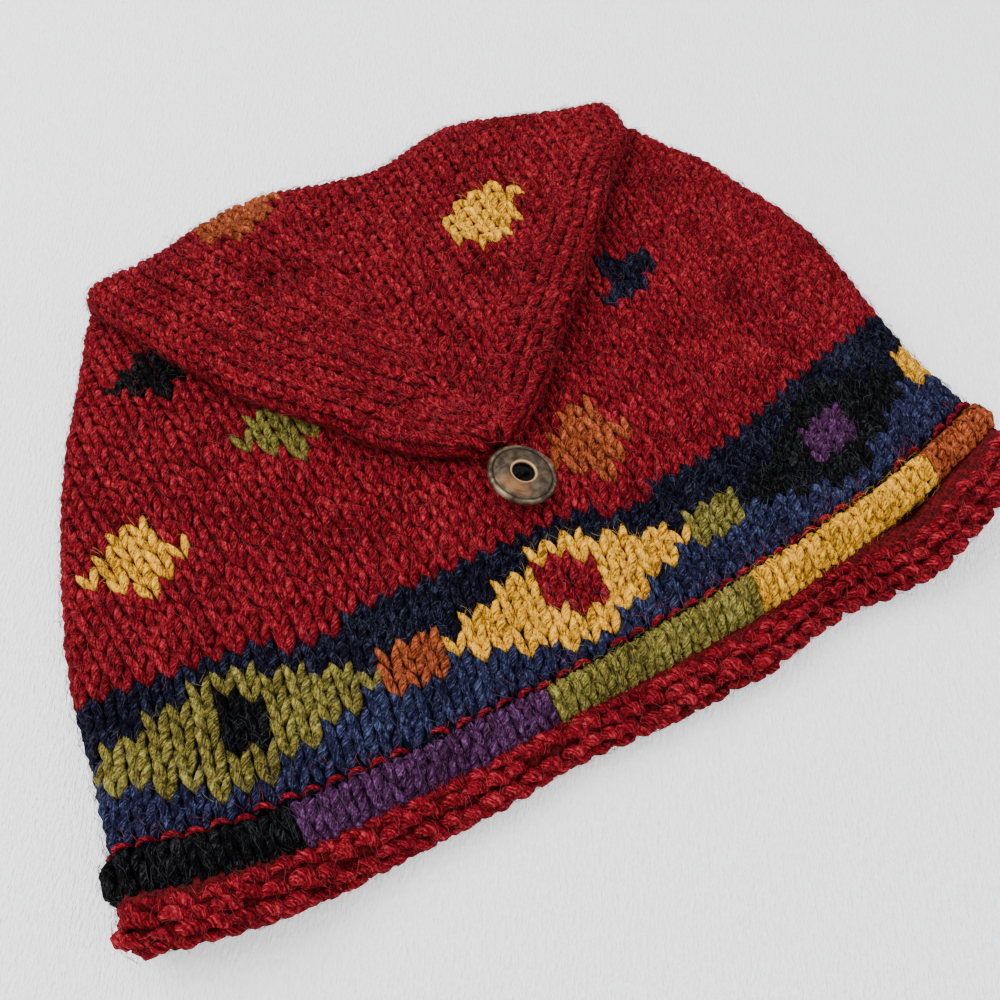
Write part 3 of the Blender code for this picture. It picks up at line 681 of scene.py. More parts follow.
class Shader:
    """One material: its Principled shader and one method that adds any other node."""

    def __init__(self, name):
        self.material = bpy.data.materials.new(name)
        self.material.use_nodes = True
        self.tree = self.material.node_tree
        self.principled = self.tree.nodes["Principled BSDF"]

    def put(self, socket, value):
        if isinstance(value, Value):
            self.tree.links.new(value.socket, socket)
        elif hasattr(socket.default_value, "__len__") and len(socket.default_value) == 4:
            socket.default_value = (*value[:3], 1.0)
        else:
            socket.default_value = value

    def node(self, kind, settings=None, inputs=(), output=0):
        node = self.tree.nodes.new(kind)
        for key, value in (settings or {}).items():
            setattr(node, key, value)
        pairs = inputs.items() if isinstance(inputs, dict) else enumerate(inputs)
        for key, value in pairs:
            self.put(node.inputs[key], value)
        return Value(self, node.outputs[output])

    def surface(self, **values):
        for name, value in values.items():
            self.put(self.principled.inputs[name.replace("_", " ")], value)

    def mix(self, factor, first, second):
        """Colour between two colours."""
        node = self.tree.nodes.new("ShaderNodeMix")
        node.data_type = "RGBA"
        self.put(node.inputs[0], factor)
        self.put(node.inputs[6], first)
        self.put(node.inputs[7], second)
        return Value(self, node.outputs[2])

    def noise(self, vector, scale, detail=2.0, roughness=0.5):
        return self.node("ShaderNodeTexNoise", {}, {"Vector": vector, "Scale": scale,
                         "Detail": detail, "Roughness": roughness}, "Fac")

    def split(self, vector):
        node = self.tree.nodes.new("ShaderNodeSeparateXYZ")
        self.put(node.inputs[0], vector)
        return [Value(self, socket) for socket in node.outputs]


def shade(colour, factor):
    return tuple(min(1.0, part * factor) for part in colour)


def blend(first, second, share):
    return tuple(a + (b - a) * share for a, b in zip(first, second))


def wool_material(name, colour, light, plies, dark=0.16):
    """Plied wool: fibres run along the yarn and cross it here and there, two plies twist round
    it, and the tone differs from stitch to stitch. Its colour runs from painted shade between
    fibres and plies to painted highlights in the light colour, mixed with the yarn's own heather."""
    shader = Shader(name)
    uv = shader.node("ShaderNodeTexCoord", {}, (), "UV")
    u, w, _ = shader.split(uv)
    tone = shader.node("ShaderNodeAttribute", {"attribute_name": "tone"}, (), "Fac")
    twist = w + u * 0.13
    grain = shader.node("ShaderNodeCombineXYZ", {}, (u * 0.50 + tone * 91.0, twist * 14.0, tone * 37.0))
    fibres = shader.noise(grain, 1.0, 2.0, 0.70)
    place = shader.node("ShaderNodeTexCoord", {}, (), "Object")
    crossing = fibre_lines(shader, place)
    patches = shader.noise(place, 60.0, 1.0)
    ply = (twist * (2 * math.pi * 2)).sin() * 0.5 + 0.5
    hair = tone.between(1.0, 1.1)
    steady = shader.node("ShaderNodeMath", {"operation": "MINIMUM"}, (tone, 1.0))
    # lit gathers fibre streaks, crossing fibres, the stitch's tone, heather patches and the ply twist
    lit = (fibres - 0.5) * 3.6 + (crossing - 0.5) * 3.0 + 0.48 + (steady - 0.5) * 0.36 \
        + (patches - 0.5) * 0.6 + (ply - 0.5) * plies * 0.5
    # painted shade: the dark end of lit, between fibres and in the grooves of the ply twist, partly the
    # yarn's own heather
    body = shader.mix(lit.between(-0.10, 0.72), shade(colour, dark), colour)
    # painted highlight: the light colour on the brightest fibres and ply crests
    body = shader.mix(lit.between(0.66, 1.25) * 0.85, body, light)
    # pale hairs: up to the light colour with a little grey-white, partly painted highlight on the fine
    # fibres
    paler = shader.mix((tone - 1.25) * 1.5, shade(colour, 0.6), blend(light, (0.8, 0.8, 0.85), 0.05))
    body = shader.mix(hair, body, paler)
    shader.surface(Base_Color=body, Roughness=0.95, Sheen_Weight=0.03, Sheen_Roughness=0.5,
                   Sheen_Tint=light, Specular_IOR_Level=0.04)
    relief = fibres * 1.2 + ply * plies + crossing * 0.8
    bump = shader.node("ShaderNodeBump", {}, {"Height": relief, "Strength": 0.9, "Distance": 0.0006},
                       "Normal")
    shader.surface(Normal=bump)
    return shader.material


def fibre_lines(shader, place):
    """Streaks about half a millimetre wide that lie three ways over the cloth."""
    total = 0.0
    for turn in (0.35, 1.35, 2.45):
        lines = shader.node("ShaderNodeMapping", {"vector_type": "TEXTURE"}, {
            "Vector": place, "Rotation": (0.0, 0.0, turn), "Scale": (1 / 420, 1 / 2100, 1 / 1300)})
        total = shader.noise(lines, 1.0, 1.0, 0.5) + total
    return total * (1 / 3)


def shaded_ground_material(name, colour):
    """Wool between and under the stitches, in painted shade: the yarn's colour kept dark, with a rough
    grain.
    """
    shader = Shader(name)
    place = shader.node("ShaderNodeTexCoord", {}, (), "Object")
    grain = fibre_lines(shader, place)
    # painted shade: 0.07 to 0.32 of the yarn's colour, for the shade in the gaps between stitches and
    # round the welt and roll cores
    body = shader.mix(grain.between(0.40, 0.60), shade(colour, 0.07), shade(colour, 0.32))
    bump = shader.node("ShaderNodeBump", {}, {"Height": grain, "Strength": 1.0, "Distance": 0.0008},
                       "Normal")
    shader.surface(Base_Color=body, Roughness=0.95, Specular_IOR_Level=0.1, Normal=bump)
    return shader.material


def button_material():
    """Turned and polished horn: dark face, golden rings at the edges of well and rim, a painted golden
    highlight at one side of the rim, the groove and the well painted near black for their shade, fine
    turning lines.

    The button's map holds the distance from its middle in millimetres and the share of a turn.
    """
    shader = Shader("button_horn")
    uv = shader.node("ShaderNodeTexCoord", {}, (), "UV")
    reach, turn, _ = shader.split(uv)
    place = shader.node("ShaderNodeTexCoord", {}, (), "Object")
    cloud = shader.noise(place, 420.0, 4.0, 0.6)
    scratches = shader.noise(shader.node("ShaderNodeCombineXYZ", {}, (reach * 9.0, turn * 5.0, 0.0)),
                             2.0, 3.0, 0.65)
    face = shader.mix(cloud.between(0.35, 0.7), (0.030, 0.021, 0.013), (0.115, 0.082, 0.050))
    patch = (1 - (turn - 0.60).absolute().between(0.05, 0.17)) * \
        (1 - (reach - 5.6).absolute().between(0.8, 2.6)) * scratches.between(0.35, 0.62)
    face = shader.mix(patch * 0.85, face, (0.30, 0.13, 0.045))
    well_edge = 1 - (reach - 3.52).absolute().between(0.10, 0.42)
    rim_edge = (1 - (reach - 9.1).absolute().between(0.1, 0.4)) * cloud.between(0.40, 0.65)
    # painted highlight: a golden glint on the rim at one side of the turn
    glint = (1 - (turn - 0.56).absolute().between(0.01, 0.06)) * reach.between(8.0, 9.0)
    # painted shade: the rim's groove painted near black
    groove_shade = 1 - (reach - 8.35).absolute().between(0.05, 0.3)
    # painted shade: the well inside its lip painted near black, for the shade in the hollow and its
    # holes
    inside = 1 - reach.between(3.04, 3.16)
    face = shader.mix(well_edge * 0.9, face, (0.46, 0.27, 0.11))
    face = shader.mix(rim_edge * 0.35 + glint * 0.6, face, (0.34, 0.25, 0.15))
    face = shader.mix(groove_shade * 0.85, face, (0.006, 0.005, 0.004))
    face = shader.mix(inside * 0.97, face, (0.004, 0.003, 0.003))
    relief = scratches * 0.5 + cloud * 0.4
    bump = shader.node("ShaderNodeBump", {}, {"Height": relief, "Strength": 0.35, "Distance": 0.0002},
                       "Normal")
    shader.surface(Base_Color=face, Roughness=0.36 + scratches * 0.25, Normal=bump, Metallic=0.6,
                   Specular_IOR_Level=0.2)
    return shader.material


def floor_material(colour):
    """Pale matt board with a fine wavy grain that runs one way."""
    shader = Shader("pale_floor")
    place = shader.node("ShaderNodeTexCoord", {}, (), "Object")
    waves = shader.node("ShaderNodeMapping", {"vector_type": "TEXTURE"}, {
        "Vector": place, "Rotation": (0.0, 0.0, 1.08), "Scale": (1 / 380, 1 / 1150, 1.0)})
    grain = shader.noise(waves, 1.0, 3.0, 0.6)
    pebble = shader.noise(place, 220.0, 2.0)
    bump = shader.node("ShaderNodeBump", {}, {"Height": grain * 1.4 + pebble * 0.4, "Strength": 1.0,
                                              "Distance": 0.0012}, "Normal")
    shader.surface(Base_Color=shader.mix(grain.between(0.35, 0.6), shade(colour, 0.93), colour),
                   Roughness=0.6, Specular_IOR_Level=0.2, Normal=bump,
                   Emission_Color=colour, Emission_Strength=0.45)
    return shader.material


class BeanieWools(bpy.types.PropertyGroup):
    """Colours of the yarns."""

    __annotations__ = {
        wool: bpy.props.FloatVectorProperty(
            name=wool.title() + " wool",
            description="Colour of the " + wool + " yarn",
            subtype="COLOR",
            size=3,
            min=0.0,
            max=1.0,
            default=RECORD_COLOURS[wool + "_wool"],
        )
        for wool in WOOLS
    }


class BeanieKnit(bpy.types.PropertyGroup):
    """Sizes of the knitting and of its stray fibres."""

    looseness: bpy.props.FloatProperty(
        name="Looseness", description="How unevenly the stitches lie", default=1.0, min=0.0, max=2.0)
    hairs: bpy.props.IntProperty(
        name="Hairs", description="Fine hairs over each stitch that shows", default=7, min=0)
    fibre_count: bpy.props.IntProperty(
        name="Fibres", description="Stray fibres that stand out of the cloth", default=2400, min=1)
    fibre_length: bpy.props.FloatProperty(
        name="Fibre length", description="Longest stray fibre", default=0.016, min=0.0,
        subtype="DISTANCE", unit="LENGTH")
    seed: bpy.props.IntProperty(
        name="Seed", description="Start of the random draws", default=7, min=0)


class BeanieStage(bpy.types.PropertyGroup):
    """Floor, lights and camera."""

    floor_colour: bpy.props.FloatVectorProperty(
        name="Floor", description="Colour of the floor", subtype="COLOR", size=3, min=0.0, max=1.0,
        default=(0.97, 0.97, 0.965))
    lens: bpy.props.FloatProperty(
        name="Lens", description="Focal length of the camera in millimetres", default=37.8, min=1.0)
    key_power: bpy.props.FloatProperty(
        name="Key light", description="Power of the soft light from the upper left",
        default=21.0, min=0.0, unit="POWER")
    sky_strength: bpy.props.FloatProperty(
        name="Sky", description="Strength of the even light all round", default=1.32, min=0.0)


def wool_colour(wool):
    return tuple(getattr(bpy.context.scene.beanie_wools, wool))


# Share of a yarn's swatch colour that is left in the cloth, where fibres shade each other
DEPTH = {
    "red": (0.52, 0.38, 0.60), "navy": (0.42, 0.22, 0.22), "blue": (0.42, 0.25, 0.30),
    "purple": (0.66, 0.40, 0.42), "olive": (0.68, 0.58, 0.52), "gold": (1.25, 1.04, 0.34),
    "rust": (0.72, 0.52, 0.52), "black": (0.26, 0.26, 0.25),
}
# Light colour of each wool: painted highlights on fibres, pale hairs and the sheen tint
LIGHTER = {
    "red": (0.44, 0.032, 0.042), "navy": (0.034, 0.042, 0.080), "blue": (0.070, 0.092, 0.190),
    "purple": (0.165, 0.070, 0.20), "olive": (0.37, 0.33, 0.08), "gold": (0.94, 0.60, 0.07),
    "rust": (0.52, 0.145, 0.045), "black": (0.034, 0.034, 0.038),
}


def yarn_of(wool):
    """Yarn material of a wool, made once."""
    name = wool + "_yarn"
    if name in bpy.data.materials:
        return bpy.data.materials[name]
    plies = 0.5 if wool in ("olive", "gold", "purple", "rust") else 0.3
    colour = tuple(a * b for a, b in zip(wool_colour(wool), DEPTH[wool]))
    return wool_material(name, colour, LIGHTER[wool], plies)


# Painted-shade material of a wool, for the cloth under the stitches and for the welt and roll cores
def shaded_ground_of(wool):
    name = wool + "_ground"
    if name in bpy.data.materials:
        return bpy.data.materials[name]
    return shaded_ground_material(name, wool_colour(wool))


def add_by_wool(zone, surface, e, v, layer, turned, wide, wools, rng, tall=ROW, hairs=0):
    """Stitches of a zone, one piece for each wool in it; wools holds an index into WOOLS."""
    loose = bpy.context.scene.beanie_knit.looseness
    tall = np.broadcast_to(tall, e.shape)
    for index, wool in enumerate(WOOLS):
        mask = wools == index
        if mask.any():
            parts = stitch_strands(surface, e[mask], v[mask], layer[mask], turned[mask], wide[mask],
                                   rng, loose=loose, tall=tall[mask], hairs=hairs)
            add_piece(zone + "_" + wool, parts, yarn_of(wool), wool + "_wool")


def spread(v):
    """How far the wales have spread apart at a height along the tube."""
    return 1 + WALE_SPREAD * np.maximum(np.minimum(v, CREST) - SEAM_Y, 0)


def edge_line(table, e, layer, back):
    """Edge line at places e: read from a table on the front, level on the back, where it bends
    to meet the front's line at both sides."""
    front = np.interp(e, [row[0] for row in table], [row[1] for row in table])
    join = smoothstep((np.abs(e) - 0.070) / 0.060)
    return np.where(layer > 0, front, back + (front - back) * join)


def row_at(e, row, layer):
    """Distance along the tube of a row: the band's rows share its width between its two edge
    lines, the crown's follow at an even pitch and straighten out."""
    foot = edge_line(BAND_FOOT, e, layer, BAND_START)
    top = edge_line(BAND_TOP, e, layer, SEAM_Y)
    above = (row - BAND_ROWS) * ROW
    crown = SEAM_Y + above + (top - SEAM_Y) * (1 - smoothstep(above / STRAIGHTEN))
    return np.where(row < BAND_ROWS, foot + row * (top - foot) / BAND_ROWS, crown)


def wale_at(wale, v, layer):
    """Place round the cloth of a wale at a distance along the tube: wales stand closer towards
    the right, lean to the right across the front's band, and spread above it."""
    place = WALE_SHIFT + WALE * wale - WALE_CLOSING * wale ** 2
    lean = BAND_LEAN * (np.minimum(v, SEAM_Y) - BAND_MIDDLE) * (layer > 0)
    return place * spread(v) + lean * (1 - smoothstep((v - SEAM_Y) / STRAIGHTEN))


def body_stitches(layer, first_row, end_v):
    """Wale, row and place of every stitch of one layer of the tube's straight stretch."""
    wale, row = np.meshgrid(np.arange(-FRONT_WALES - 1, FRONT_WALES + 3), np.arange(first_row, 60))
    wale = wale.ravel()
    row = row.ravel()
    v = row_at(wale * WALE, row, layer)
    e = wale_at(wale, v, layer)
    left, right = edge_places(v)
    keep = (v < end_v) & (e > left - WALE * 0.5) & (e < right + WALE * 0.5)
    step = ROW / 4
    lean = np.arctan((wale_at(wale, v + step, layer) - wale_at(wale, v - step, layer)) / (2 * step))
    return (wale[keep], row[keep], e[keep], v[keep], np.full(keep.sum(), float(layer)), lean[keep])


def paint_chart(wools, chart, wale, row, first_wale, first_row, wool):
    """Give the wool to every stitch under an X of the chart; rows count on from the first."""
    for i, line in enumerate(chart):
        for j, mark in enumerate(line):
            if mark == "X":
                wools[(wale == first_wale + j) & (row == first_row + i)] = WOOLS.index(wool)


def crown_wools(layer, wale, row):
    """Index into WOOLS for stitches of the crown: red, with spots of other wools."""
    wools = np.zeros(len(wale), int)
    for spot_layer, middle, middle_row, chart, wool in SPOTS:
        if spot_layer == layer:
            paint_chart(wools, chart, wale, -row, middle - 2, -middle_row - 2, wool)
    return wools


def band_wools(layer, wale, row):
    """Index into WOOLS for stitches of the band, read from the chart, row 0 at the bottom."""
    from_top = BAND_ROWS - 1 - row
    wools = np.where(np.isin(from_top, NAVY_ROWS), WOOLS.index("navy"), WOOLS.index("blue"))
    for block_layer, middle, wool in BLOCKS:
        inside = (np.abs(wale - middle) <= 1) & np.isin(from_top, BLOCK_ROWS)
        wools[inside & (block_layer == layer)] = WOOLS.index(wool)
    for eye_layer, middle, wool, square, square_wool in EYES:
        if eye_layer != layer:
            continue
        for line, marks in enumerate(EYE):
            wales = [j - 6 for j, mark in enumerate(marks) if mark == "o"]
            wools[(from_top == line) & np.isin(wale - middle, wales)] = WOOLS.index(wool)
        for aside, lines in square.items():
            wools[(wale - middle == aside) & np.isin(from_top, lines)] = WOOLS.index(square_wool)
    for first, last in SEAM_DIPS:
        dip = (wale >= first) & (wale <= last) & (from_top == 0) & (layer > 0)
        wools[dip] = WOOLS.index("red")
    return wools


def under_flap(e, v):
    """True where the flap hides the front: further than FLAP_COVER inside its outline."""
    there = cloth(e, v, 1.0, 0.0)
    y = there[..., 1]
    station = (FOLD_Y - y) / FLAP_LENGTH
    left_fold, right_fold = side_reach(np.array(FOLD_Y))
    left = FLAP_TIP_X + (left_fold - FLAP_TIP_X) * read_table(FLAP_EDGES, 1, station)
    right = FLAP_TIP_X + (right_fold - FLAP_TIP_X) * read_table(FLAP_EDGES, 2, station)
    inside = (there[..., 0] > left + FLAP_COVER) & (there[..., 0] < right - FLAP_COVER)
    return inside & (station < 0.93)


class BEANIE_OT_ground(bpy.types.Operator):
    """Make the closed walls of crown and band that lie under the stitches."""

    bl_idname = "beanie.ground"
    bl_label = "Cloth ground"

    def execute(self, context):
        body = np.linspace(SEAM_Y, TURN_Y, 24)[:-1]
        over = np.linspace(TURN_Y, TURN_Y + FOLD_ARC, 16)[:-1]
        flap = np.linspace(TURN_Y + FOLD_ARC, TUBE_END, 26)
        v = np.concatenate((body, over, flap))
        e, layer = loop_columns(v, 60)
        outside = cloth(e, v[:, None], layer, -GROUND_DEPTH)
        inner_v = v[v < TUBE_END - 0.012]
        inner_e, inner_layer = loop_columns(inner_v, 60)
        inside = cloth(inner_e, inner_v[:, None], inner_layer, -CROWN_WALL + 0.0003)
        rows = np.concatenate((inside[::-1], outside))
        for end in (0, -1):
            middle = rows[end].mean(axis=0, keepdims=True)
            cap = np.broadcast_to(middle, rows[end].shape)[None]
            rows = np.concatenate((cap, rows)) if end == 0 else np.concatenate((rows, cap))
        piece = add_piece("crown_ground", [grid_part(rows)], shaded_ground_of("red"), "red_wool",
                          ("crown",))
        orient(piece)
        v = np.linspace(BAND_START - 0.002, SEAM_Y - JOINT_GAP, 16)
        rows = shell_grid(v, GROUND_DEPTH, BAND_WALL)
        piece = add_piece("band_ground", [grid_part(rows)], shaded_ground_of("navy"), "navy_wool",
                          ("pattern_band",))
        orient(piece)
        return {"FINISHED"}


class BEANIE_OT_crown(bpy.types.Operator):
    """Knit the crown's front and back."""

    bl_idname = "beanie.crown"
    bl_label = "Crown stitches"

    def execute(self, context):
        knit = context.scene.beanie_knit
        rng = np.random.default_rng(knit.seed + 1)
        wale, row, e, v, layer, lean = body_stitches(1, BAND_ROWS, TURN_Y + 0.002)
        keep = ~under_flap(e, v)
        wale, row, e, v, layer, lean = (part[keep] for part in (wale, row, e, v, layer, lean))
        add_by_wool("crown_front", cloth, e, v, layer, lean, WALE * spread(v),
                    crown_wools(1, wale, row), rng, hairs=knit.hairs)
        wale, row, e, v, layer, lean = body_stitches(-1, BAND_ROWS, CREST)
        add_by_wool("crown_back", cloth, e, v, layer, lean, WALE * spread(v),
                    crown_wools(-1, wale, row), rng, hairs=knit.hairs // 6)
        return {"FINISHED"}


def flap_side(side):
    """Stitches that run beside one edge of the flap, from the fold to the mitre line.

    A wale keeps its distance s from the edge; a row is square to it, so the row's number is
    the distance along the wale plus s times the sine of the edge's lean, over the row pitch.
    """
    v = np.linspace(CREST - 0.004, TUBE_END + 0.003, 260)
    left, right = edge_places(v)
    edge = left if side < 0 else right
    mitre = np.interp(v, [row[0] for row in MITRES], [row[1 if side < 0 else 2] for row in MITRES])
    pitch = WALE * 1.02
    slope = np.gradient(edge, v)
    length = np.concatenate(([0], np.cumsum(np.hypot(np.diff(v), np.diff(edge)))))
    tilt = np.sin(np.arctan(np.abs(slope)))
    room = np.abs(mitre - edge).max()
    rows = []
    for j in range(-2, int(room / pitch) + 1):
        inside = (j + 0.5) * pitch
        count = (length + inside * tilt) / ROW
        count = np.maximum.accumulate(count + np.arange(len(count)) * 1e-7)
        place = np.arange(math.ceil(count[0]), int(count[-1]) + 1)
        at = np.interp(place, count, v)
        e = np.interp(at, v, edge) - side * inside
        keep = (at < TUBE_END - 0.002) & ((np.interp(at, v, mitre) - e) * side < 0.0012)
        rows.append(np.stack((e[keep], at[keep], np.arctan(np.interp(at, v, slope))[keep]), axis=1))
    rows = np.concatenate(rows)
    return rows, np.full(len(rows), pitch)


def flap_middle():
    """Stitches of the flap's middle, whose wales run straight down from the fold between the two
    mitre lines, with their wale and row numbers."""
    pitch = WALE
    wale, row = np.meshgrid(np.arange(-8, 24), np.arange(0, 34))
    wale = wale.ravel()
    row = row.ravel()
    v = CREST + row * ROW
    e = wale * pitch
    stops = [line[0] for line in MITRES]
    low = np.interp(v, stops, [line[1] for line in MITRES])
    high = np.interp(v, stops, [line[2] for line in MITRES])
    left, right = edge_places(v)
    keep = (e > low) & (e < high) & (e > left - 0.003) & (e < right + 0.003) & (v < TUBE_END - 0.002)
    rows = np.stack((e[keep], v[keep], np.zeros(keep.sum())), axis=1)
    return rows, np.full(len(rows), pitch), wale[keep], row[keep]


class BEANIE_OT_flap(bpy.types.Operator):
    """Knit the flap that comes over the fold and narrows to the button."""

    bl_idname = "beanie.flap"
    bl_label = "Flap stitches"

    def execute(self, context):
        rng = np.random.default_rng(context.scene.beanie_knit.seed + 2)
        left, left_wide = flap_side(-1)
        right, right_wide = flap_side(1)
        middle, middle_wide, wale, row = flap_middle()
        e, v, lean = np.concatenate((middle, left, right)).T
        wide = np.concatenate((middle_wide, left_wide, right_wide))
        wools = np.zeros(len(e), int)
        spot_wale, spot_row, wool = FLAP_SPOT_PLACE
        paint_chart(wools[:len(wale)], FLAP_SPOT, wale, row, spot_wale - 2, spot_row - 2, wool)
        patch_e, patch_v, half_e, half_v, wool = FOLD_PATCH
        inside = ((e - patch_e) / half_e) ** 2 + ((v - patch_v) / half_v) ** 2 < 1
        wools[inside] = WOOLS.index(wool)
        add_by_wool("flap", cloth, e, v, np.full(len(e), -1.0), lean, wide, wools, rng,
                    hairs=context.scene.beanie_knit.hairs)
        return {"FINISHED"}


class BEANIE_OT_band(bpy.types.Operator):
    """Knit the pattern band and the broken red line along its lower edge."""

    bl_idname = "beanie.band"
    bl_label = "Band stitches"

    def execute(self, context):
        knit = context.scene.beanie_knit
        rng = np.random.default_rng(knit.seed + 3)
        for zone, side, hairs in (("band_front", 1, knit.hairs), ("band_back", -1, knit.hairs // 4)):
            parts = body_stitches(side, 0, -0.028)
            keep = parts[1] < BAND_ROWS
            wale, row, e, v, layer, lean = (part[keep] for part in parts)
            tall = row_at(e, 1, layer) - row_at(e, 0, layer)
            add_by_wool(zone, cloth, e, v, layer, lean, np.full(len(e), WALE),
                        band_wools(side, wale, row), rng, tall, hairs)
        wale = np.arange(-FRONT_WALES, FRONT_WALES + 1)
        wale = np.concatenate((wale, wale))
        layer = np.repeat((1.0, -1.0), len(wale) // 2)
        show = rng.random(len(wale)) < 0.85
        e = wale[show] * WALE
        v = row_at(e, 0, layer[show]) - rng.normal(0.0007, 0.0003, len(e))
        parts = stitch_strands(cloth, e, v, layer[show], rng.normal(0, 0.2, len(e)),
                               np.full(len(e), WALE * 0.9), rng, shape=PURL_BIT, mirrored=False,
                               hairs=4)
        add_piece("purl_line", parts, yarn_of("red"), "red_wool")
        return {"FINISHED"}


class BEANIE_OT_welts(bpy.types.Operator):
    """Make the rounded welts: a bead for each colour with tall stitches wrapped over it."""

    bl_idname = "beanie.welts"
    bl_label = "Rounded welts"

    def execute(self, context):
        knit = context.scene.beanie_knit
        rng = np.random.default_rng(knit.seed + 4)
        quarter, straight = loop_lengths()
        half = quarter + straight / 2

        def lines(e, layer):
            """Middle and half width of the bead, from the roll's line to the band's foot."""
            high = edge_line(BAND_FOOT, e, layer, BAND_START) - 0.0019
            low = edge_line(WELT_FOOT, e, layer, HEM_Y + ROLL_WIDTH + JOINT_GAP)
            return (high + low) / 2, (high - low) / 2

        def surface(e, v, layer, out):
            """v counts along the bead's outline in metres from its roll side over the top."""
            middle_y, half_width = lines(e, layer)
            angle = math.pi * 1.10 - v / (2 * half_width + 0.0045) * math.pi
            return bead(e, angle, layer, out - 0.0006, middle_y, half_width, WELT_THICKNESS,
                        WELT_SQUARENESS)

        wales = np.arange(-FRONT_WALES, FRONT_WALES) + 0.5
        levels = np.arange(-0.6, 5.3, 1.0)
        e, v, layer = (part.ravel() for part in np.meshgrid(wales * half / FRONT_WALES,
                                                            levels * ROW * 0.95, (1.0, -1.0)))
        found = welt_wool(e, layer)
        start = WELTS[-1][1] - 1.0
        for index, (node, end, wool) in enumerate(WELTS):
            mask = found == index
            stitches = stitch_strands(surface, e[mask], v[mask], layer[mask], np.zeros(mask.sum()),
                                      np.full(mask.sum(), WALE * 0.96), rng,
                                      hairs=knit.hairs if (layer[mask] > 0).mean() > 0.5 else 2)
            add_piece(node + "_stitches", stitches, yarn_of(wool), wool + "_wool")
            share = np.linspace(start, end, max(8, int((end - start) * 150)))
            distance = np.mod(share, 1.0) * 4 * half
            front = distance < 2 * half
            core_e = np.where(front, distance - half, 3 * half - distance)
            angle = np.linspace(0, 2 * math.pi, 24, endpoint=False)
            core_layer = np.where(front, 1.0, -1.0)[:, None]
            middle_y, half_width = lines(core_e[:, None], core_layer)
            rows = bead(core_e[:, None], angle[None, :], core_layer, -WELT_CORE_DEPTH, middle_y,
                        half_width, WELT_THICKNESS, WELT_SQUARENESS)
            caps = [np.broadcast_to(rows[i].mean(axis=0), rows[i].shape)[None] for i in (0, -1)]
            rows = np.concatenate((caps[0], rows, caps[1]))
            core = add_piece(node + "_core", [grid_part(rows)], shaded_ground_of(wool),
                             wool + "_wool", (node,))
            orient(core)
            start = end
        return {"FINISHED"}


class BEANIE_OT_hem(bpy.types.Operator):
    """Make the rolled hem: a round core under staggered purl bumps."""

    bl_idname = "beanie.hem"
    bl_label = "Rolled hem"

    def execute(self, context):
        rng = np.random.default_rng(context.scene.beanie_knit.seed + 5)
        quarter, straight = loop_lengths()
        half = quarter + straight / 2
        girth = math.pi * (ROLL_WIDTH + ROLL_THICKNESS) / 4

        def middle_at(e, layer):
            """Middle line of the roll, which wanders a little on the front."""
            return HEM_Y + ROLL_WIDTH / 2 + edge_line(ROLL_WANDER, e, layer, 0.0)

        def surface(e, v, layer, out):
            """v counts along the roll's outline in metres."""
            return bead(e, math.pi - v / girth * math.pi, layer, out, middle_at(e, layer),
                        ROLL_WIDTH / 2, ROLL_THICKNESS, ROLL_SQUARENESS)

        levels = np.arange(-1, 5)
        places = []
        for level in levels:
            stagger = 0.5 * (level % 2)
            wales = np.arange(-FRONT_WALES, FRONT_WALES) + 0.25 + stagger
            for layer in (1.0, -1.0):
                e = wales * half / FRONT_WALES + rng.normal(0, 0.0005, len(wales))
                v = level * BUMP_PITCH + rng.normal(0, 0.00055, len(wales))
                places.append(np.stack((e, v, np.full(len(wales), layer)), axis=1))
        e, v, layer = np.concatenate(places).T
        bumps = stitch_strands(surface, e, v, layer, rng.normal(0.30, 0.16, len(e)),
                               np.full(len(e), WALE * 1.14), rng, shape=BUMP, mirrored=False,
                               hairs=context.scene.beanie_knit.hairs)
        add_piece("hem_stitches", bumps, yarn_of("red"), "red_wool")
        distance = np.linspace(0, 4 * half, 193)[:-1]
        front = distance < 2 * half
        core_e = np.where(front, distance - half, 3 * half - distance)
        angle = np.linspace(0, 2 * math.pi, 20, endpoint=False)
        core_layer = np.where(front, 1.0, -1.0)[:, None]
        rows = bead(core_e[:, None], angle[None, :], core_layer, -ROLL_CORE_DEPTH,
                    middle_at(core_e[:, None], core_layer) + ROLL_JOINING,
                    ROLL_WIDTH / 2 + ROLL_JOINING, ROLL_THICKNESS, ROLL_SQUARENESS)
        rows = np.concatenate((rows, rows[:1]))
        core = add_piece("hem_core", [grid_part(rows)], shaded_ground_of("red"), "red_wool",
                         ("rolled_hem",))
        orient(core)
        return {"FINISHED"}


def button_place():
    """Middle of the button's edge and the height of the cloth under it."""
    y = FOLD_Y - FLAP_LENGTH - BUTTON_FROM_TIP
    cloth_z = CROWN_HEIGHT + float(front_lift(np.array([BUTTON_X]), np.array([y]))[0])
    return Vector((BUTTON_X, y, cloth_z + BUTTON_STAND + BUTTON_BACK)), cloth_z


def smooth_path(stops, count):
    """Evenly read points of a smooth curve through a few chosen ones."""
    table = [(i, *stop) for i, stop in enumerate(stops)]
    place = np.linspace(0, len(stops) - 1, count)
    return np.column_stack([read_table(table, column, place) for column in (1, 2, 3)])


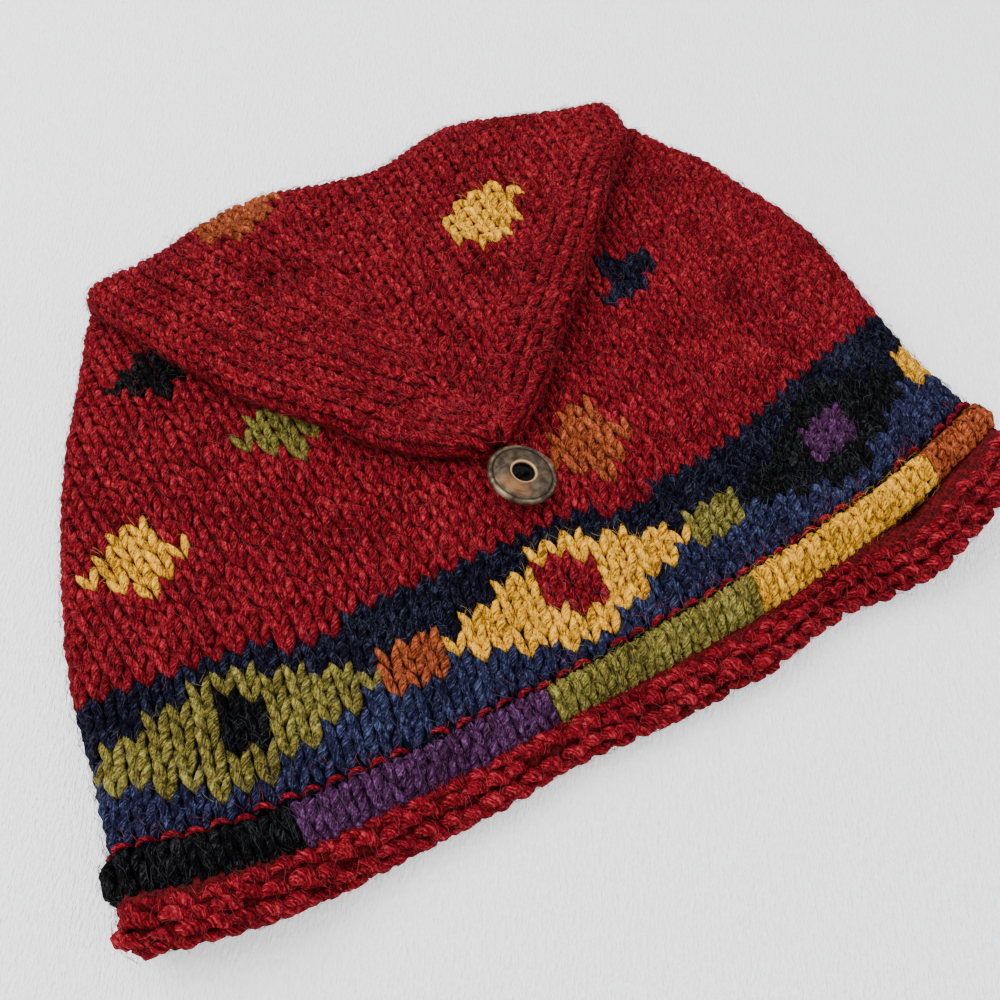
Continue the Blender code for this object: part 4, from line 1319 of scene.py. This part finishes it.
def loop_path(place, cloth_z):
    """Run of the yarn loop: from the flap's tip round the thread under the button and back."""
    half = LOOP_HALF_WIDTH
    low = cloth_z + LOOP_YARN / 2 + 2 * JOINT_GAP
    start_y = FOLD_Y - FLAP_LENGTH - LOOP_YARN / 2
    reach = start_y - (place.y - half)
    stops = ((-1.0, 0.0, 0.3), (-1.15, 0.3, 0), (-1.05, 0.65, 0), (-0.6, 0.93, 0), (0, 1.0, 0),
             (0.5, 0.93, 0), (0.8, 0.65, 0), (0.8, 0.3, 0), (0.8, 0.0, 0.3))
    return smooth_path([(place.x + half * a, start_y - reach * b, low + LOOP_YARN * c)
                        for a, b, c in stops], 41)


def thread_path(place, cloth_z):
    """Run of the sewing thread: up one hole, over the bridge in the well and down the other."""
    bridge = BUTTON_FACE - WELL_DEPTH + JOINT_GAP + THREAD_DIAMETER / 2
    tilt = math.sin(BUTTON_TILT)
    sides = []
    for side in (-0.5, 0.5):
        x = side * HOLE_SPACING * math.cos(BUTTON_TILT)
        z = place.z - side * HOLE_SPACING * tilt
        sides.append([
            (place.x + x * 0.9, place.y, cloth_z + 2 * JOINT_GAP),
            (place.x + x - BUTTON_BACK * tilt, place.y, z - BUTTON_BACK),
            (place.x + x, place.y, z),
            (place.x + x + bridge * tilt, place.y, z + bridge * 0.7),
        ])
    arch = (place.x + bridge * tilt, place.y, place.z + bridge + THREAD_DIAMETER * 0.2)
    return smooth_path(sides[0] + [arch] + sides[1][::-1], 31)


def add_yarn(name, path, thickness, wool, node):
    """Two plies twisted round a path: each winds round it at a quarter of its thickness."""
    angle = np.linspace(0, 2 * math.pi * len(path) / 9, len(path))
    side, up = strand_frames(path[None], np.array((0.05, 0.03, 1.0)))
    plies = []
    for turn in (0.0, math.pi):
        offset = np.cos(angle + turn)[:, None] * side[0] + np.sin(angle + turn)[:, None] * up[0]
        plies.append(path + offset * thickness / 4)
    half = np.full((2, len(path)), thickness * 0.3)
    above = np.broadcast_to((0.05, 0.03, 1.0), (2, len(path), 3))
    part = strands_mesh(np.array(plies), half, above, 8, np.array((0.4, 0.6)))
    add_piece(name, [part], yarn_of(wool), wool + "_wool", (node,))


# Turned outline of the button in millimetres, from the middle of the well to the middle of the back
BUTTON_OUTLINE = (
    (0.0, -0.20), (2.2, -0.20), (2.85, -0.14), (3.00, 0.10), (3.05, 1.05), (3.22, 1.52),
    (3.50, 1.72), (3.85, 1.74), (5.0, 1.56), (6.4, 1.20), (7.6, 0.82), (8.12, 0.62),
    (8.28, 0.46), (8.42, 0.46), (8.56, 0.74), (8.90, 0.90), (9.30, 0.84), (9.62, 0.50),
    (9.75, 0.0), (9.60, -0.60), (9.05, -1.18), (7.4, -1.52), (4.0, -1.60), (0.0, -1.60),
)


class BEANIE_OT_button(bpy.types.Operator):
    """Turn the button, sew it on and lay the flap's yarn loop round its thread."""

    bl_idname = "beanie.button"
    bl_label = "Button and loop"

    def execute(self, context):
        place, cloth_z = button_place()
        outline = np.array(BUTTON_OUTLINE) / 1000
        angle = 2 * math.pi * np.arange(80) / 80
        ring = np.stack((np.cos(angle), np.sin(angle)), axis=-1)
        x = outline[:, None, 0] * ring[None, :, 0]
        y = outline[:, None, 0] * ring[None, :, 1]
        z = np.broadcast_to(outline[:, None, 1], x.shape)
        rows = np.stack((x, y, z), axis=-1)
        matrix = np.array(Matrix.Translation(place) @ Matrix.Rotation(BUTTON_TILT, 4, "Y"))
        rows = rows @ matrix[:3, :3].T + matrix[:3, 3]
        part = grid_part(rows)
        ring_index = part["quads"] // 80
        part["quad_uv"][..., 0] = outline[ring_index, 0] * 1000
        part["quad_uv"][..., 1] = (part["quads"] % 80) / 80
        wrapped = part["quad_uv"][..., 1]
        last = wrapped.max(axis=1) - wrapped.min(axis=1) > 0.5
        wrapped[last] = np.where(wrapped[last] < 0.5, 1.0, wrapped[last])
        button = add_piece("button_turned", [part], button_material(), "button_horn", ("button",))
        orient(button)
        add_yarn("tip_loop_yarn", loop_path(place, cloth_z), LOOP_YARN, "red", "tip_loop")
        add_yarn("thread_strands", thread_path(place, cloth_z), THREAD_DIAMETER, "black",
                 "button_thread")
        return {"FINISHED"}


class BEANIE_OT_fibres(bpy.types.Operator):
    """Scatter stray wool fibres over the cloth."""

    bl_idname = "beanie.fibres"
    bl_label = "Stray fibres"

    def execute(self, context):
        knit = context.scene.beanie_knit
        rng = np.random.default_rng(knit.seed + 6)
        count = knit.fibre_count
        v = rng.uniform(BAND_START - 0.004, TUBE_END, count)
        left, right = edge_places(v)
        e = left + (right - left) * rng.random(count)
        layer = np.where(v > CREST, -1.0, np.where(rng.random(count) < 0.75, 1.0, -1.0))
        steps = 5
        heading = rng.uniform(0, 2 * math.pi, count)
        bend = rng.normal(0, 0.8, (count, steps)).cumsum(axis=1)
        length = knit.fibre_length * rng.beta(2, 4, count)
        stride = (length / steps)[:, None]
        path_e = e[:, None] + np.cumsum(np.cos(heading[:, None] + bend) * stride, axis=1)
        path_v = v[:, None] + np.cumsum(np.sin(heading[:, None] + bend) * stride, axis=1)
        top = rng.beta(1.4, 4, count) * 0.0052
        arch = np.linspace(0, 1, steps) ** 0.8 * top[:, None] + 0.0011
        centres = cloth(path_e, path_v, layer[:, None], arch)
        up = np.broadcast_to((0.1, 0.2, 0.97), centres.shape)
        half = np.full((count, steps), 0.00006) * np.linspace(1.0, 0.6, steps)[None, :]
        red = v > SEAM_Y
        for name, mask, wool in (("fibres_red", red, "red"), ("fibres_blue", ~red, "blue")):
            tone = 1.2 + 0.8 * rng.random(mask.sum())
            part = strands_mesh(centres[mask], half[mask], up[mask], 3, tone)
            add_piece(name, [part], yarn_of(wool), wool + "_wool")
        return {"FINISHED"}


class BEANIE_OT_stage(bpy.types.Operator):
    """Lay the pale floor and set the lights and the camera."""

    bl_idname = "beanie.stage"
    bl_label = "Stage"

    def execute(self, context):
        stage = context.scene.beanie_stage
        mesh = bpy.data.meshes.new("floor")
        reach = 3.0
        corners = [(-reach, -reach, 0), (reach, -reach, 0), (reach, reach, 0), (-reach, reach, 0)]
        mesh.from_pydata(corners, [], [(0, 1, 2, 3)])
        mesh.materials.append(floor_material(tuple(stage.floor_colour)))
        floor = bpy.data.objects.new("floor", mesh)
        context.scene.collection.objects.link(floor)
        for name, position, size, power in (
            ("key_light", (-0.55, 0.45, 0.95), 0.9, stage.key_power),
            ("fill_light", (0.8, -0.5, 0.9), 1.2, stage.key_power * 0.35),
        ):
            light = bpy.data.lights.new(name, "AREA")
            light.size = size
            light.energy = power
            lamp = bpy.data.objects.new(name, light)
            lamp.location = position
            lamp.rotation_euler = (-Vector(position)).to_track_quat("-Z", "Y").to_euler()
            context.scene.collection.objects.link(lamp)
        world = bpy.data.worlds.new("even_sky")
        world.use_nodes = True
        background = world.node_tree.nodes["Background"]
        background.inputs["Color"].default_value = (0.96, 0.98, 1.0, 1.0)
        background.inputs["Strength"].default_value = stage.sky_strength
        context.scene.world = world
        camera = bpy.data.cameras.new("camera")
        camera.lens = stage.lens
        camera.sensor_width = 36.0
        camera.clip_start = 0.01
        view = bpy.data.objects.new("camera", camera)
        context.scene.collection.objects.link(view)
        right = Vector((0.8823, -0.4706, 0.0)).normalized()
        ahead = Vector((0.2209, 0.4142, -0.8829)).normalized()
        up = right.cross(ahead)
        rows = Matrix((right, up, -ahead)).transposed().to_4x4()
        view.matrix_world = Matrix.Translation((-0.0713, -0.1545, 0.2722)) @ rows
        context.scene.camera = view
        return {"FINISHED"}


OPERATORS = (
    BEANIE_OT_ground, BEANIE_OT_crown, BEANIE_OT_flap, BEANIE_OT_band, BEANIE_OT_welts,
    BEANIE_OT_hem, BEANIE_OT_button, BEANIE_OT_fibres, BEANIE_OT_stage,
)


class BEANIE_PT_sidebar(bpy.types.Panel):
    """Sizes, colours and pieces of the beanie."""

    bl_label = "Beanie"
    bl_idname = "BEANIE_PT_sidebar"
    bl_space_type = "VIEW_3D"
    bl_region_type = "UI"
    bl_category = "Beanie"

    def draw(self, context):
        for group in ("beanie_wools", "beanie_knit", "beanie_stage"):
            settings = getattr(context.scene, group)
            box = self.layout.box()
            for name in type(settings).__annotations__:
                box.prop(settings, name)
        for operator in OPERATORS:
            self.layout.operator(operator.bl_idname)


GROUPS = (("beanie_wools", BeanieWools), ("beanie_knit", BeanieKnit), ("beanie_stage", BeanieStage))


def register():
    for name, group in GROUPS:
        bpy.utils.register_class(group)
        setattr(bpy.types.Scene, name, bpy.props.PointerProperty(type=group))
    for operator in OPERATORS:
        bpy.utils.register_class(operator)
    bpy.utils.register_class(BEANIE_PT_sidebar)


def unregister():
    bpy.utils.unregister_class(BEANIE_PT_sidebar)
    for operator in reversed(OPERATORS):
        bpy.utils.unregister_class(operator)
    for name, group in reversed(GROUPS):
        delattr(bpy.types.Scene, name)
        bpy.utils.unregister_class(group)


def main():
    register()
    for operator in OPERATORS:
        group, name = operator.bl_idname.split(".")
        getattr(getattr(bpy.ops, group), name)()


if __name__ == "__main__":
    main()
